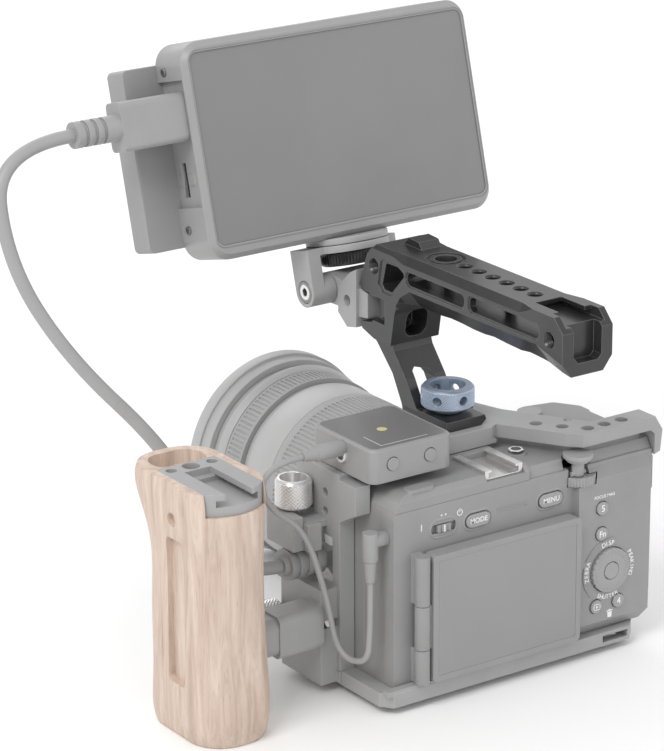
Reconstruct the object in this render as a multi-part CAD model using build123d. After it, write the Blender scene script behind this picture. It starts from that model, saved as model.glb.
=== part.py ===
"""Cinema camera rig: camera body, zoom lens, cage, top handle, monitor, receiver, side grip and two cords.

Frame in millimetres: X to the operator's right, Y forward along the lens, Z up.
The origin is the mouth of the tripod thread in the underside of the cage base plate.
"""
import os
from math import acos, cos, pi, radians, sin, tan

from build123d import *

os.makedirs("parts", exist_ok=True)

# ---------------------------------------------------------------- driving dimensions
BODY_X = (-58.6, 71.4)          # camera body, left and right faces
BODY_REAR, BODY_SPLIT, BODY_FRONT = -22.6, -2.0, 18.5
PAD_REAR = -26.0                # raised control pad to the right of the screen
PAD_X0 = 31.0
BODY_Z = (6.2, 80.0)            # camera body, bottom and underside of the top cover
COVER_TOP, SHOULDER_TOP = 86.2, 84.0
CORNER_R, REAR_BEVEL = 9.0, 2.4  # round of the upper left corner, slope along the rear top edge
WALL = 2.4
LENS_Z = 44.0                   # height of the lens axis
MOUNT_R, MOUNT_BORE = 31.0, 23.5
RUN = 0.3                       # radial clearance between plain parts that move
SCREEN_X, SCREEN_Y, SCREEN_Z = (-44.6, 29.4), (-30.0, -23.2), (7.5, 61.5)
HINGE = (-48.0, -27.0)          # screen hinge axis, X and Y
HINGE_R, PIN_R = 3.1, 1.2
HINGE_CUTS = (7.6, 22.5, 40.9, 61.7)
BASE_X, BASE_Y, BASE_T = (-65.5, 63.0), (-27.0, 44.0), 6.0
THREAD_R = 2.6                  # tap-drill radius for a 1/4 inch thread
ARM_TOP, ARM_T = 94.0, 5.7      # cage top plate
SIDE_X = (-66.0, -59.0)         # cage left plate
HANDLE_HALF = 12.2
HANDLE_TOP, HANDLE_REAR, HANDLE_FRONT = 162.5, -67.5, 66.0
LEG_HALF = 9.8
FOOT_TOP = 98.3
WHEEL_Y, WHEEL_Z = 21.7, (100.6, 109.6)
WHEEL_R, WHEEL_BORE, STUD_R = 10.6, 7.4, 3.0
TILT_Y, TILT_Z, LEAN = 88.0, 136.0, 15.0   # tilt axis of the monitor mount and its lean at rest
HUB_R, BOLT_R = 6.5, 2.6
DISC_R = 17.4
MON_W, MON_Y, MON_Z = 142.0, (-9.4, 12.6), (20.4, 109.6)
GLASS_W, GLASS_Z, GLASS_T, GLASS_R = 136.0, (26.4, 105.2), 1.8, 3.6
DRIVE_X, DRIVE_Y, DRIVE_Z = (-87.0, 56.0), (12.6, 27.0), (27.0, 102.0)
PORT_Z = 80.5                   # monitor video port, in the leaning frame
VIDEO_D, AUDIO_D = 5.6, 2.5     # cord diameters
PLUG_END_X = -66.2              # inner end of the camera video plug body
RX_X, RX_Y, RX_Z = (-63.0, -23.5), (-14.0, 28.0), (90.4, 104.4)
GRIP_X, GRIP_TOP, GRIP_FOOT = -124.5, 102.0, -3.0
GRIP_PLATE = (27.0, 38.0, 9.0)
NECK, NECK_R = (11.0, 27.0), 5.2  # boss that carries the grip, Y and Z

VIDEO_UPPER = [(-121.0, 108.76, 213.76), (-157.0, 108.76, 213.76), (-158.0, 99.0, 170.0),
               (-140.0, 85.0, 131.0), (-124.0, 75.6, 111.6)]
# the lower span starts 0.6 mm clear of the upper one, which moves with the monitor
VIDEO_LOWER = [(-123.64, 75.39, 111.17), (-108.0, 66.2, 92.2), (-104.0, 48.0, 68.0),
               (-102.6, 19.0, 51.0), (-84.6, 19.0, 51.0)]
AUDIO_ROUTE = [(-82.0, 6.0, 100.6), (-93.5, 6.0, 100.6), (-102.0, 6.3, 94.0), (-97.0, 6.5, 81.5),
               (-81.0, 6.0, 70.0), (-75.0, 0.0, 42.0), (-71.0, -1.5, 16.5), (-67.5, -16.5, 16.5),
               (-66.0, -17.0, 30.0), (-66.0, -17.0, 52.0)]


# ---------------------------------------------------------------- helpers
def block(x, y, z):
    """Box between pairs of limits."""
    size = [b - a for a, b in (x, y, z)]
    mid = [(a + b) / 2 for a, b in (x, y, z)]
    return Pos(*mid) * Box(*size)


def soft(x, y, z, r, axis=Axis.Z):
    """Box with the four edges along one axis rounded."""
    solid = block(x, y, z)
    return fillet(solid.edges().filter_by(axis), r)


def rod(axis, start, length, r, r2=None):
    """Cylinder or cone from a start point along +X, +Y or +Z."""
    turn = {"x": Rot(0, 90, 0), "y": Rot(-90, 0, 0), "z": Rot(0, 0, 0)}[axis]
    if r2 is None:
        solid = Cylinder(r, length, align=(Align.CENTER, Align.CENTER, Align.MIN))
    else:
        solid = Cone(r, r2, length, align=(Align.CENTER, Align.CENTER, Align.MIN))
    return Pos(*start) * turn * solid


def ring(axis, start, length, r, bore):
    return rod(axis, start, length, r) - rod(axis, start, length, bore)


def prism(plane, points, a, b):
    """Polygon on the YZ, XZ or XY plane, drawn out between two coordinates."""
    face = make_face(Polyline(*points, close=True))
    if plane == "yz":
        return extrude(Plane.YZ.offset(a) * face, amount=b - a)
    if plane == "xz":
        return extrude(Plane.XZ.offset(-b) * face, amount=b - a)
    return extrude(Plane.XY.offset(a) * face, amount=b - a)


def lean(shape):
    """Place a shape drawn in the monitor's own frame: origin on the tilt axis, Z up the swivel axis."""
    return Pos(0, TILT_Y, TILT_Z) * Rot(-LEAN, 0, 0) * shape


def turns(points):
    """Half turn angles at the inner points of a route."""
    out = []
    for a, b, c in zip(points, points[1:], points[2:]):
        u, v = Vector(*b) - Vector(*a), Vector(*c) - Vector(*b)
        out.append(acos(u.dot(v) / (u.length * v.length)) / 2)
    return out


def route_radii(points, diameter, share=0.45, end_share=0.9):
    """Bend radii: a share of the shorter run over the tangent of half the turn."""
    runs = [(Vector(*b) - Vector(*a)).length for a, b in zip(points, points[1:])]
    radii = []
    for i, half in enumerate(turns(points)):
        first = end_share if i == 0 else share
        last = end_share if i == len(points) - 3 else share
        radii.append(min(runs[i] * first, runs[i + 1] * last) / tan(half))
    return [round(min(r, 12 * diameter), 2) for r in radii]


def cord(points, diameter):
    radii = route_radii(points, diameter)
    wire = FilletPolyline(*points, radius=radii)
    section = Plane(origin=points[0], z_dir=wire % 0) * Circle(diameter / 2)
    solid = sweep(section, path=wire)
    area = pi * diameter ** 2 / 4
    print("cord", diameter, "radii", radii, "length", round(wire.length, 1), "volume / (area x length)",
          round(solid.volume / (area * wire.length), 4))
    return solid


# ---------------------------------------------------------------- camera body
CAP_BUTTONS = {                 # centre X, Z, radius, surface Y, straight length between the round ends
    "button_mode": (-17.8, 69.0, 2.8, BODY_REAR, 6.2),
    "button_menu": (18.7, 69.3, 2.8, BODY_REAR, 6.2),
    "button_five": (42.9, 61.0, 2.9, PAD_REAR, 0),
    "button_function": (42.8, 49.9, 2.9, PAD_REAR, 0),
    "button_play": (40.6, 18.3, 2.9, PAD_REAR, 0),
    "button_delete": (52.1, 18.4, 2.9, PAD_REAR, 0),
}
BUTTON_OUT, BUTTON_IN, STEM_R = 0.9, 1.1, 1.4
WHEEL_C, CONTROL_R = (47.4, 33.1), 9.6
SWITCH_C = (-34.6, 69.4)
DIAL_C, DIAL_R, DIAL_Z = (34.8, -19.6), 7.6, (72.6, 76.4)
JOY_C, JOY_PIVOT_Z = (32.8, -22.4), 77.5
SHOE_X, SHOE_Y = (-13.0, 6.0), (-21.0, 1.0)
SHUTTER_C = (48.0, 24.0)


def rear_profile(y_front):
    """Side outline of the body right of the screen, from the pad to a front limit."""
    z0, z1 = BODY_Z
    return [(y_front, z0), (BODY_REAR, z0), (PAD_REAR, z0 + 5), (PAD_REAR, 74.0), (-21.7, z1), (y_front, z1)]


def lower_corner(y0, y1):
    """Slanted cut along the lower right corner of the body."""
    x, z = BODY_X[1], BODY_Z[0]
    return prism("xz", [(x - 5.6, z - 1), (x + 2, z - 1), (x + 2, z + 14.5), (x, z + 11.5)], y0, y1)


def body_cavity(y0, y1):
    x, z = BODY_X[1] - WALL, BODY_Z[0] + WALL
    room = block((BODY_X[0] + WALL, x), (y0, y1), (z, BODY_Z[1]))
    return room - prism("xz", [(x - 6.5, z - 1), (x + 1, z - 1), (x + 1, z + 14.0)], y0 - 1, y1 + 1)


def upper_corner(y0, y1):
    """What is left outside the round of the upper left corner of the body."""
    x, z, r = BODY_X[0], COVER_TOP, CORNER_R
    corner = block((x - 1, x + r), (y0, y1), (z - r, z + 2))
    return corner - rod("y", (x + r, y0 - 1, z - r), y1 - y0 + 2, r)


def camera_rear_shell():
    z0, z1 = BODY_Z
    shell = soft((BODY_X[0], BODY_X[1]), (BODY_REAR, BODY_SPLIT), (z0, z1), 0.6, Axis.X)
    shell += prism("yz", rear_profile(BODY_SPLIT), PAD_X0, BODY_X[1] - 3.0)
    shell -= lower_corner(-30.0, BODY_SPLIT)
    shell -= upper_corner(-30.0, BODY_SPLIT)
    shell -= body_cavity(BODY_REAR + WALL, BODY_SPLIT)
    shell += soft((BODY_X[1] - 1, BODY_X[1] + 3.6), (-19.0, -7.0), (60.0, 76.0), 1.6, Axis.Y)
    for x, z, r, y, straight in CAP_BUTTONS.values():
        shell -= pill(x, z, r + RUN, straight, y - 1, 1 + BUTTON_IN)
        shell -= rod("y", (x, y - 1, z), 10, STEM_R + 0.1)
    x, z = WHEEL_C
    shell -= rod("y", (x, PAD_REAR - 1, z), 4.0, CONTROL_R + RUN)
    shell -= rod("y", (x, PAD_REAR - 1, z), 12, 2.2)
    x, z = SWITCH_C
    shell -= block((x - 6, x + 6), (BODY_REAR - 1, BODY_REAR + 1.6), (z - 1.9, z + 1.9))
    x, y = DIAL_C
    shell -= rod("z", (x, y, DIAL_Z[0] - RUN), DIAL_Z[1] - DIAL_Z[0] + 2 * RUN, DIAL_R + 0.5)
    shell -= rod("z", (JOY_C[0], JOY_C[1], z1 - 3.6), 10, 5.0)
    shell -= rod("x", (BODY_X[0] - 1, -17.0, 69.0), 6, 1.85)
    hx, hy = HINGE
    for lo, hi in ((HINGE_CUTS[0], HINGE_CUTS[1] - RUN), (HINGE_CUTS[2] + RUN, HINGE_CUTS[3])):
        shell += rod("z", (hx, hy, lo), hi - lo, HINGE_R) + block((hx - 2.2, hx + 2.2), (hy, BODY_REAR + 1),
                                                                  (max(lo, z0), hi))
    shell += rod("z", (hx, hy, HINGE_CUTS[0]), HINGE_CUTS[3] - HINGE_CUTS[0], PIN_R)
    shell += block((BODY_X[0] + WALL, BODY_X[0] + WALL + 3), (-12, BODY_SPLIT), (40, 44))
    return shell


def camera_front_shell():
    z0, z1 = BODY_Z
    shell = soft(BODY_X, (BODY_SPLIT, BODY_FRONT), (z0, z1), 0.6, Axis.X)
    grip = prism("xy", [(40, BODY_FRONT - 1), (72.5, BODY_FRONT - 1), (72.5, 26), (66, 36), (52, 39), (43, 33)],
                 z0 + 2, z1)
    shell += fillet(grip.edges().filter_by(Axis.Z), 3.0)
    shell -= lower_corner(BODY_SPLIT, BODY_FRONT)
    shell -= upper_corner(BODY_SPLIT, BODY_FRONT)
    shell -= body_cavity(BODY_SPLIT, BODY_FRONT - WALL)
    shell -= rod("y", (0, BODY_FRONT - 6, LENS_Z), 8, MOUNT_BORE + 0.6)
    shell -= soft((45.5, 67.0), (14, 33), (z0 + 5, z1 - 3), 2.5)
    shell -= rod("z", (SHUTTER_C[0], SHUTTER_C[1] + 5, z1 - 5), 9, 1.7)
    for x, y in BODY_SCREWS:
        shell -= rod("z", (x, y, z0 - 1), 6, 3.05)
    return shell


def camera_top_cover():
    z1 = BODY_Z[1]
    cover = prism("yz", [(BODY_FRONT, z1), (BODY_REAR, z1), (BODY_REAR, COVER_TOP - REAR_BEVEL),
                         (BODY_REAR + REAR_BEVEL, COVER_TOP), (BODY_FRONT - 1, COVER_TOP), (BODY_FRONT, COVER_TOP - 1)],
                  BODY_X[0], 8.0)
    cover += prism("yz", [(BODY_FRONT, z1), (-21.7, z1), (-19.3, SHOULDER_TOP), (BODY_FRONT, SHOULDER_TOP)],
                   8.0, BODY_X[1])
    grip = prism("xy", [(40, BODY_FRONT - 1), (72.5, BODY_FRONT - 1), (72.5, 26), (66, 36), (52, 39), (43, 33)],
                 z1, SHOULDER_TOP)
    cover += fillet(grip.edges().filter_by(Axis.Z), 3.0)
    cover -= upper_corner(BODY_REAR - 1, BODY_FRONT + 1)
    cover -= block((BODY_X[0] + WALL + 2, BODY_X[1] - WALL), (BODY_REAR + WALL + 1, BODY_FRONT - WALL), (z1, z1 + 1.6))
    cover -= block(SHOE_X, (BODY_REAR - 1, SHOE_Y[1]), (83.4, COVER_TOP + 1))
    cover -= rod("z", (JOY_C[0], JOY_C[1], z1 - 1), 10, 6.5 + RUN)
    cover -= rod("z", (SHUTTER_C[0], SHUTTER_C[1] + 5, SHOULDER_TOP - 1.6), 5, 5.6)
    cover -= rod("z", (SHUTTER_C[0], SHUTTER_C[1] + 5, z1 - 1), 9, 1.7)
    cover += ring("z", (15.3, -4.1, SHOULDER_TOP - 1), 1.8, 4.4, 3.0)
    cover += soft((-50, -37), (-21, -15.5), (COVER_TOP - 0.5, COVER_TOP + 1.2), 2.2)
    return cover


def hot_shoe():
    x, y = SHOE_X, SHOE_Y
    base = block((x[0] + 0.1, x[1] - 0.1), (y[0] + 0.1, y[1] - 0.1), (83.5, 84.2))
    for side in (x[0] + 0.1, x[1] - 2.1):
        base += block((side, side + 2.0), (y[0] + 0.1, y[1] - 0.1), (84.2, 87.4))
    for lo, hi in ((x[0] + 0.1, x[0] + 3.6), (x[1] - 3.6, x[1] - 0.1)):
        base += block((lo, hi), (y[0] + 0.1, y[1] - 0.1), (86.4, 87.4))
    return base


def camera_lens_mount():
    flange = ring("y", (0, BODY_FRONT, LENS_Z), 2.5, MOUNT_R, MOUNT_BORE)
    for k in range(4):
        a = radians(45 + 90 * k)
        flange -= rod("y", (27.2 * cos(a), BODY_FRONT + 1.6, LENS_Z + 27.2 * sin(a)), 2, 1.4)
    return flange + ring("y", (0, BODY_FRONT - WALL, LENS_Z), WALL, MOUNT_BORE + 0.6, MOUNT_BORE - 1.5)


def image_sensor():
    return block((-18.5, 18.5), (5.2, 7.0), (LENS_Z - 13, LENS_Z + 13)) + block(
        (-27, 27), (1.6, 5.2), (LENS_Z - 20, LENS_Z + 20))


def main_board():
    board = block((-50, 38), (-8.6, -7.0), (14, 76))
    for x, z, w, h in ((-30, 30, 14, 14), (0, 40, 18, 18), (-34, 60, 10, 10), (18, 62, 12, 8)):
        board += block((x - w / 2, x + w / 2), (-10.4, -8.6), (z - h / 2, z + h / 2))
    return board + block((BODY_X[0] + WALL + 3.2, -50), (-8.6, -7.0), (38, 46))


def camera_battery():
    foot = BODY_Z[0] + 5.2
    return soft((46.2, 66.2), (14.5, 32.5), (foot, foot + 58), 2.0)


def pill(x, z, r, straight, y, depth):
    """Round-ended disc along Y, or a plain disc where the straight length is zero."""
    disc = rod("y", (x - straight / 2, y, z), depth, r)
    if straight:
        disc += rod("y", (x + straight / 2, y, z), depth, r)
        disc += block((x - straight / 2, x + straight / 2), (y, y + depth), (z - r, z + r))
    return disc


def cap_button(x, z, r, y, straight):
    cap = pill(x, z, r, straight, y - BUTTON_OUT, BUTTON_OUT + 0.2)
    cap = fillet(cap.faces().sort_by(Axis.Y)[0].edges(), 0.4)
    return cap + rod("y", (x, y + 0.2, z), 5.4, STEM_R)


def control_wheel():
    x, z = WHEEL_C
    disc = rod("y", (x, PAD_REAR - 1.5, z), 3.4, CONTROL_R)
    disc = fillet(disc.edges().sort_by(Axis.Y)[0], 0.6)
    disc -= rod("y", (x, PAD_REAR - 2, z), 5, 3.9)
    for k in range(24):
        a = 2 * pi * k / 24
        disc -= rod("y", (x + CONTROL_R * cos(a), PAD_REAR - 2, z + CONTROL_R * sin(a)), 2.2, 0.45)
    return disc


def wheel_button():
    x, z = WHEEL_C
    return rod("y", (x, PAD_REAR - 1.7, z), 2.4, 3.55) + rod("y", (x, PAD_REAR + 0.6, z), 6.5, 2.0)


def mode_switch():
    x, z = SWITCH_C
    knob = block((x - 3.2, x + 3.2), (BODY_REAR - 0.8, BODY_REAR + 1.3), (z - 1.5, z + 1.5))
    for k in (-1, 0, 1):
        knob -= block((x + k * 1.6 - 0.25, x + k * 1.6 + 0.25), (BODY_REAR - 1, BODY_REAR - 0.4), (z - 2, z + 2))
    return knob


def rear_dial():
    x, y = DIAL_C
    dial = rod("z", (x, y, DIAL_Z[0]), DIAL_Z[1] - DIAL_Z[0], DIAL_R)
    for k in range(36):
        a = 2 * pi * k / 36
        dial -= rod("z", (x + DIAL_R * cos(a), y + DIAL_R * sin(a), DIAL_Z[0] - 1), 6, 0.32)
    return dial


def joystick():
    x, y = JOY_C
    stick = rod("z", (x, y, BODY_Z[1] - 3.2), 6.4, 2.6) + rod("z", (x, y, BODY_Z[1] + 2.6), 2.0, 4.4, 6.2)
    stick += rod("x", (x - 3.6, y, JOY_PIVOT_Z), 7.2, 1.0)
    return stick + rod("z", (x, y, BODY_Z[1] + 4.6), 1.5, 6.2)


def shutter_button():
    x, y = SHUTTER_C[0], SHUTTER_C[1] + 5
    return rod("z", (x, y, SHOULDER_TOP - 0.2), 2.2, 5.2) + rod("z", (x, y, SHOULDER_TOP - 5.6), 5.5, 1.5)


def rear_screen_housing():
    panel = soft(SCREEN_X, SCREEN_Y, SCREEN_Z, 2.2, Axis.Y)
    panel -= block((SCREEN_X[0] + 2.4, SCREEN_X[1] - 2.4), (SCREEN_Y[0] - 1, SCREEN_Y[0] + 1.0),
                   (SCREEN_Z[0] + 2.6, SCREEN_Z[1] - 2.4))
    panel -= block((SCREEN_X[0] + 4, SCREEN_X[1] - 4), (SCREEN_Y[0] + 0.5, SCREEN_Y[1] - 1.6),
                   (SCREEN_Z[0] + 4, SCREEN_Z[1] - 4))
    hx, hy = HINGE
    barrel = rod("z", (hx, hy, HINGE_CUTS[1]), HINGE_CUTS[2] - HINGE_CUTS[1], HINGE_R)
    barrel += block((hx, SCREEN_X[0] + 1), (hy - 1.6, hy + 1.6), (HINGE_CUTS[1], HINGE_CUTS[2]))
    barrel -= rod("z", (hx, hy, HINGE_CUTS[1] - 1), 30, PIN_R + 0.05)
    for lo, hi in ((HINGE_CUTS[0] - 1, HINGE_CUTS[1]), (HINGE_CUTS[2], HINGE_CUTS[3] + 1)):
        panel -= rod("z", (hx, hy, lo), hi - lo, HINGE_R + RUN)
    return panel + barrel


def rear_screen_glass():
    return block((SCREEN_X[0] + 2.4, SCREEN_X[1] - 2.4), (SCREEN_Y[0] + 0.05, SCREEN_Y[0] + 1.0),
                 (SCREEN_Z[0] + 2.6, SCREEN_Z[1] - 2.4))


# ---------------------------------------------------------------- lens
LENS_FIT = 0.05                 # running fit of the rings on the barrel
CORE_R = 35.0


def lens_barrel():
    y0 = BODY_FRONT + 2.5
    barrel = ring("y", (0, y0, LENS_Z), 13, 30.6, 22.0)
    barrel += rod("y", (0, y0 + 13, LENS_Z), 10, 30.6, 36.6) - rod("y", (0, y0 + 13, LENS_Z), 10, 26.0)
    barrel += ring("y", (0, y0 + 23, LENS_Z), 14.0, 36.6, CORE_R - 3.0)
    barrel += ring("y", (0, y0 + 37, LENS_Z), 86, CORE_R, CORE_R - 3.0)
    barrel += ring("y", (0, 96.7, LENS_Z), 17.2, 39.2, CORE_R)
    barrel += ring("y", (0, 113.9, LENS_Z), 3.0, 38.3, CORE_R)
    barrel += rod("y", (0, 129.2, LENS_Z), 3.6, 40.6, 42.2) - rod("y", (0, 129.2, LENS_Z), 3.6, CORE_R)
    barrel += ring("y", (0, 132.8, LENS_Z), 4.5, 40.4, CORE_R)
    barrel += ring("y", (0, 137.3, LENS_Z), 6.0, 37.6, CORE_R - 1)
    barrel += ring("y", (0, y0 - 4.0, LENS_Z), 4.0, 21.6, 19.0) + ring("y", (0, y0, LENS_Z), 1.0, 24, 19.0)
    return barrel


def grip_ring(y0, y1, r, ribs, depth):
    band = ring("y", (0, y0, LENS_Z), y1 - y0, r, CORE_R + LENS_FIT)
    groove = Pos(0, (y0 + y1) / 2, LENS_Z) * Pos(r, 0, 0) * Box(depth * 2, (y1 - y0) * 0.78, pi * r / ribs)
    cuts = [Pos(0, 0, LENS_Z) * Rot(0, 360 * k / ribs, 0) * Pos(0, 0, -LENS_Z) * groove for k in range(ribs)]
    return band - cuts


def lens_hood():
    hood = ring("y", (0, 137.3 + RUN, LENS_Z), 5.9, 43.1, 37.6 + 0.08)
    hood += ring("y", (0, 143.5, LENS_Z), 6.0, 44.4, 38.6)
    return hood


def lens_elements():
    cell = CORE_R - 3.05
    front = rod("y", (0, 133.5, LENS_Z), 5.0, cell)
    spacer = ring("y", (0, 70.0, LENS_Z), 63.5, cell, cell - 2.0)
    middle = rod("y", (0, 70.0, LENS_Z), 6.0, cell)
    tube = ring("y", (0, 22.5, LENS_Z), 47.5, 21.8, 19.5)
    plate = ring("y", (0, 60.0, LENS_Z), 10.0, cell, 19.5)
    return front + spacer + middle + tube + plate + rod("y", (0, 26.0, LENS_Z), 5.0, 21.7)


# ---------------------------------------------------------------- cage
BODY_SCREWS = [(-32.0, 8.0), (30.0, 8.0)]
SIDE_SCREWS = [(-62.0, 12.0), (-62.0, 32.0)]


def cage_base_plate():
    base = prism("xy", [(BASE_X[0] + 4, BASE_Y[0]), (BASE_X[1] - 5, BASE_Y[0]), (BASE_X[1], BASE_Y[0] + 5),
                        (BASE_X[1], 14), (52, 20), (44, BASE_Y[1] - 8), (36, BASE_Y[1]), (-54, BASE_Y[1]),
                        (BASE_X[0], 36), (BASE_X[0], BASE_Y[0] + 5)], 0, BASE_T)
    base += block((BASE_X[0] + 1, 20), (BASE_Y[0] + 0.2, BODY_REAR - 0.5), (BASE_T - 1, BASE_T + 1.2))
    base -= rod("z", (0, 0, -1), 9, THREAD_R)
    base -= block((44, 57), (-22.5, -17.5), (-1, 9)) + block((44, 57), (-30, -17.5), (1.5, 4.6))
    for x in (-40, 28):
        base -= block((x, x + 12), (28, 36), (-1, 9))
    for x, y in BODY_SCREWS:
        base -= rod("z", (x, y, -1), 9, 3.2) + rod("z", (x, y, -1), 4.2, 5.2)
    for x, y in SIDE_SCREWS:
        base -= rod("z", (x, y, -1), 9, 1.6) + rod("z", (x, y, -1), 3.7, 2.5)
    for x in (-20, 20):
        base -= rod("z", (x, -8, -1), 9, 2.4)
    return base


def cage_left_plate():
    plate = prism("yz", [(4, BASE_T), (38, BASE_T), (38, 60), (33, 90.0), (4, 90.0), (4, 88), (-7, 88),
                         (-7, 76), (-3, 74), (4, 70)], *SIDE_X)
    plate -= block((-70, -55), (9, 28), (38, 62)) + block((-70, -55), (9, 31), (12, 30))
    for y, z in ((14, 72), (24, 72), (14, 80), (24, 80)):
        plate -= rod("x", (-70, y, z), 14, 1.9)
    for x, y in SIDE_SCREWS:
        plate -= rod("z", (x, y, 5), 6.2, 1.55)
    return plate


def cage_top_plate():
    z0, z1 = ARM_TOP - ARM_T, ARM_TOP
    top = prism("xy", [(-12.5, 5.0), (10.0, 5.0), (13.5, 7.0), (29.5, -18.5), (34.5, -23.8), (BODY_X[1] - 0.4, -23.8),
                       (BODY_X[1] - 0.4, -13.2), (46.0, -13.2), (26.0, 20.0), (20.0, 40.0), (-12.5, 40.0)], z0, z1)
    hook = [(-3.4, z1), (0.4, z1), (4.4, z1 - 6.4), (3.4, 78.4), (0.4, 77.4), (0.4, z0 - 2), (-1.8, z0), (-3.4, z0)]
    top += prism("xz", [(BODY_X[1] + dx, z) for dx, z in hook], -23.8, -13.2)
    top += block((SIDE_X[1], -12.5), (8, 33), (86.6, 90.0))
    top += block((-14, -10), (8, 33), (86.6, z1 - 0.5))
    top += block((-12.5, 12.5), (5.0, 18.0), (86.6, z0))
    top -= block((-52, -32), (7, 30), (88.2, 91))
    for x in (40.6, 49.1, 58.0):
        top -= rod("z", (x, -18.6, z0 - 1), 8, 2.7)
    for x, y, r in ((40.0, -6.0, 1.6), (33.5, -11.0, 2.6), (27.0, -2.0, 2.6), (16.0, 30.0, 2.6), (-8, 34, 1.6),
                    (8, 34, 1.6)):
        top -= rod("z", (x, y, z0 - 1), 8, r)
    top -= rod("z", (0, WHEEL_Y, z0 - 1), 8, STUD_R - 0.3)
    return top


def cage_screws():
    screws = None
    for x, y in BODY_SCREWS:
        one = rod("z", (x, y, 0.6), 2.4, 5.1) + rod("z", (x, y, 3.0), 5.4, 3.0)
        one -= rod("z", (x, y, 0.5), 1.6, 2.0)
        screws = one if screws is None else screws + one
    for x, y in SIDE_SCREWS:
        screws += rod("z", (x, y, 0.05), 2.6, 2.4) + rod("z", (x, y, 2.65), 8.0, 1.5)
    return screws


# ---------------------------------------------------------------- top handle
TOP_BEVEL = (2.0, 3.7)          # bevel between the handle's top and sides, across and down
LOW_BEVEL = (5.6, 7.2)          # bevel under the sides, across and down
SIDE_FOOT = 148.5               # lower edge of the handle's sides
UNDERSIDE = [(45, 141.6), (33, 141.6), (20, 140.9), (10, 142.0), (3, 141.8), (-4, 141.0), (-11, 141.0), (-18, 141.9),
             (-25, 141.1), (-34, 140.6), (-41, 141.8), (-49, 141.0), (-55, 139.8), (-60.5, 138.8)]


def bevel_run(stations, across, down, edge_z, upper):
    """Cutter for a lengthwise bevel on both sides: stations are Y, share of the full bevel and shift of its edge."""
    cut = None
    for side in (-1, 1):
        faces = []
        for y, share, shift in stations:
            a, d, z, out = across * share, down * share, edge_z + shift, 1.2
            sign = 1 if upper else -1
            rise = out * down / across
            tri = [(HANDLE_HALF - a - out * across / down, z + sign * (d + out)), (HANDLE_HALF + out, z + sign * (d + out)),
                   (HANDLE_HALF + out, z - sign * rise)]
            faces.append(Plane.XZ.offset(-y) * make_face(Polyline(*[(side * x, zz) for x, zz in tri], close=True)))
        piece = loft(faces, ruled=True)
        cut = piece if cut is None else cut + piece
    return cut


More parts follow.
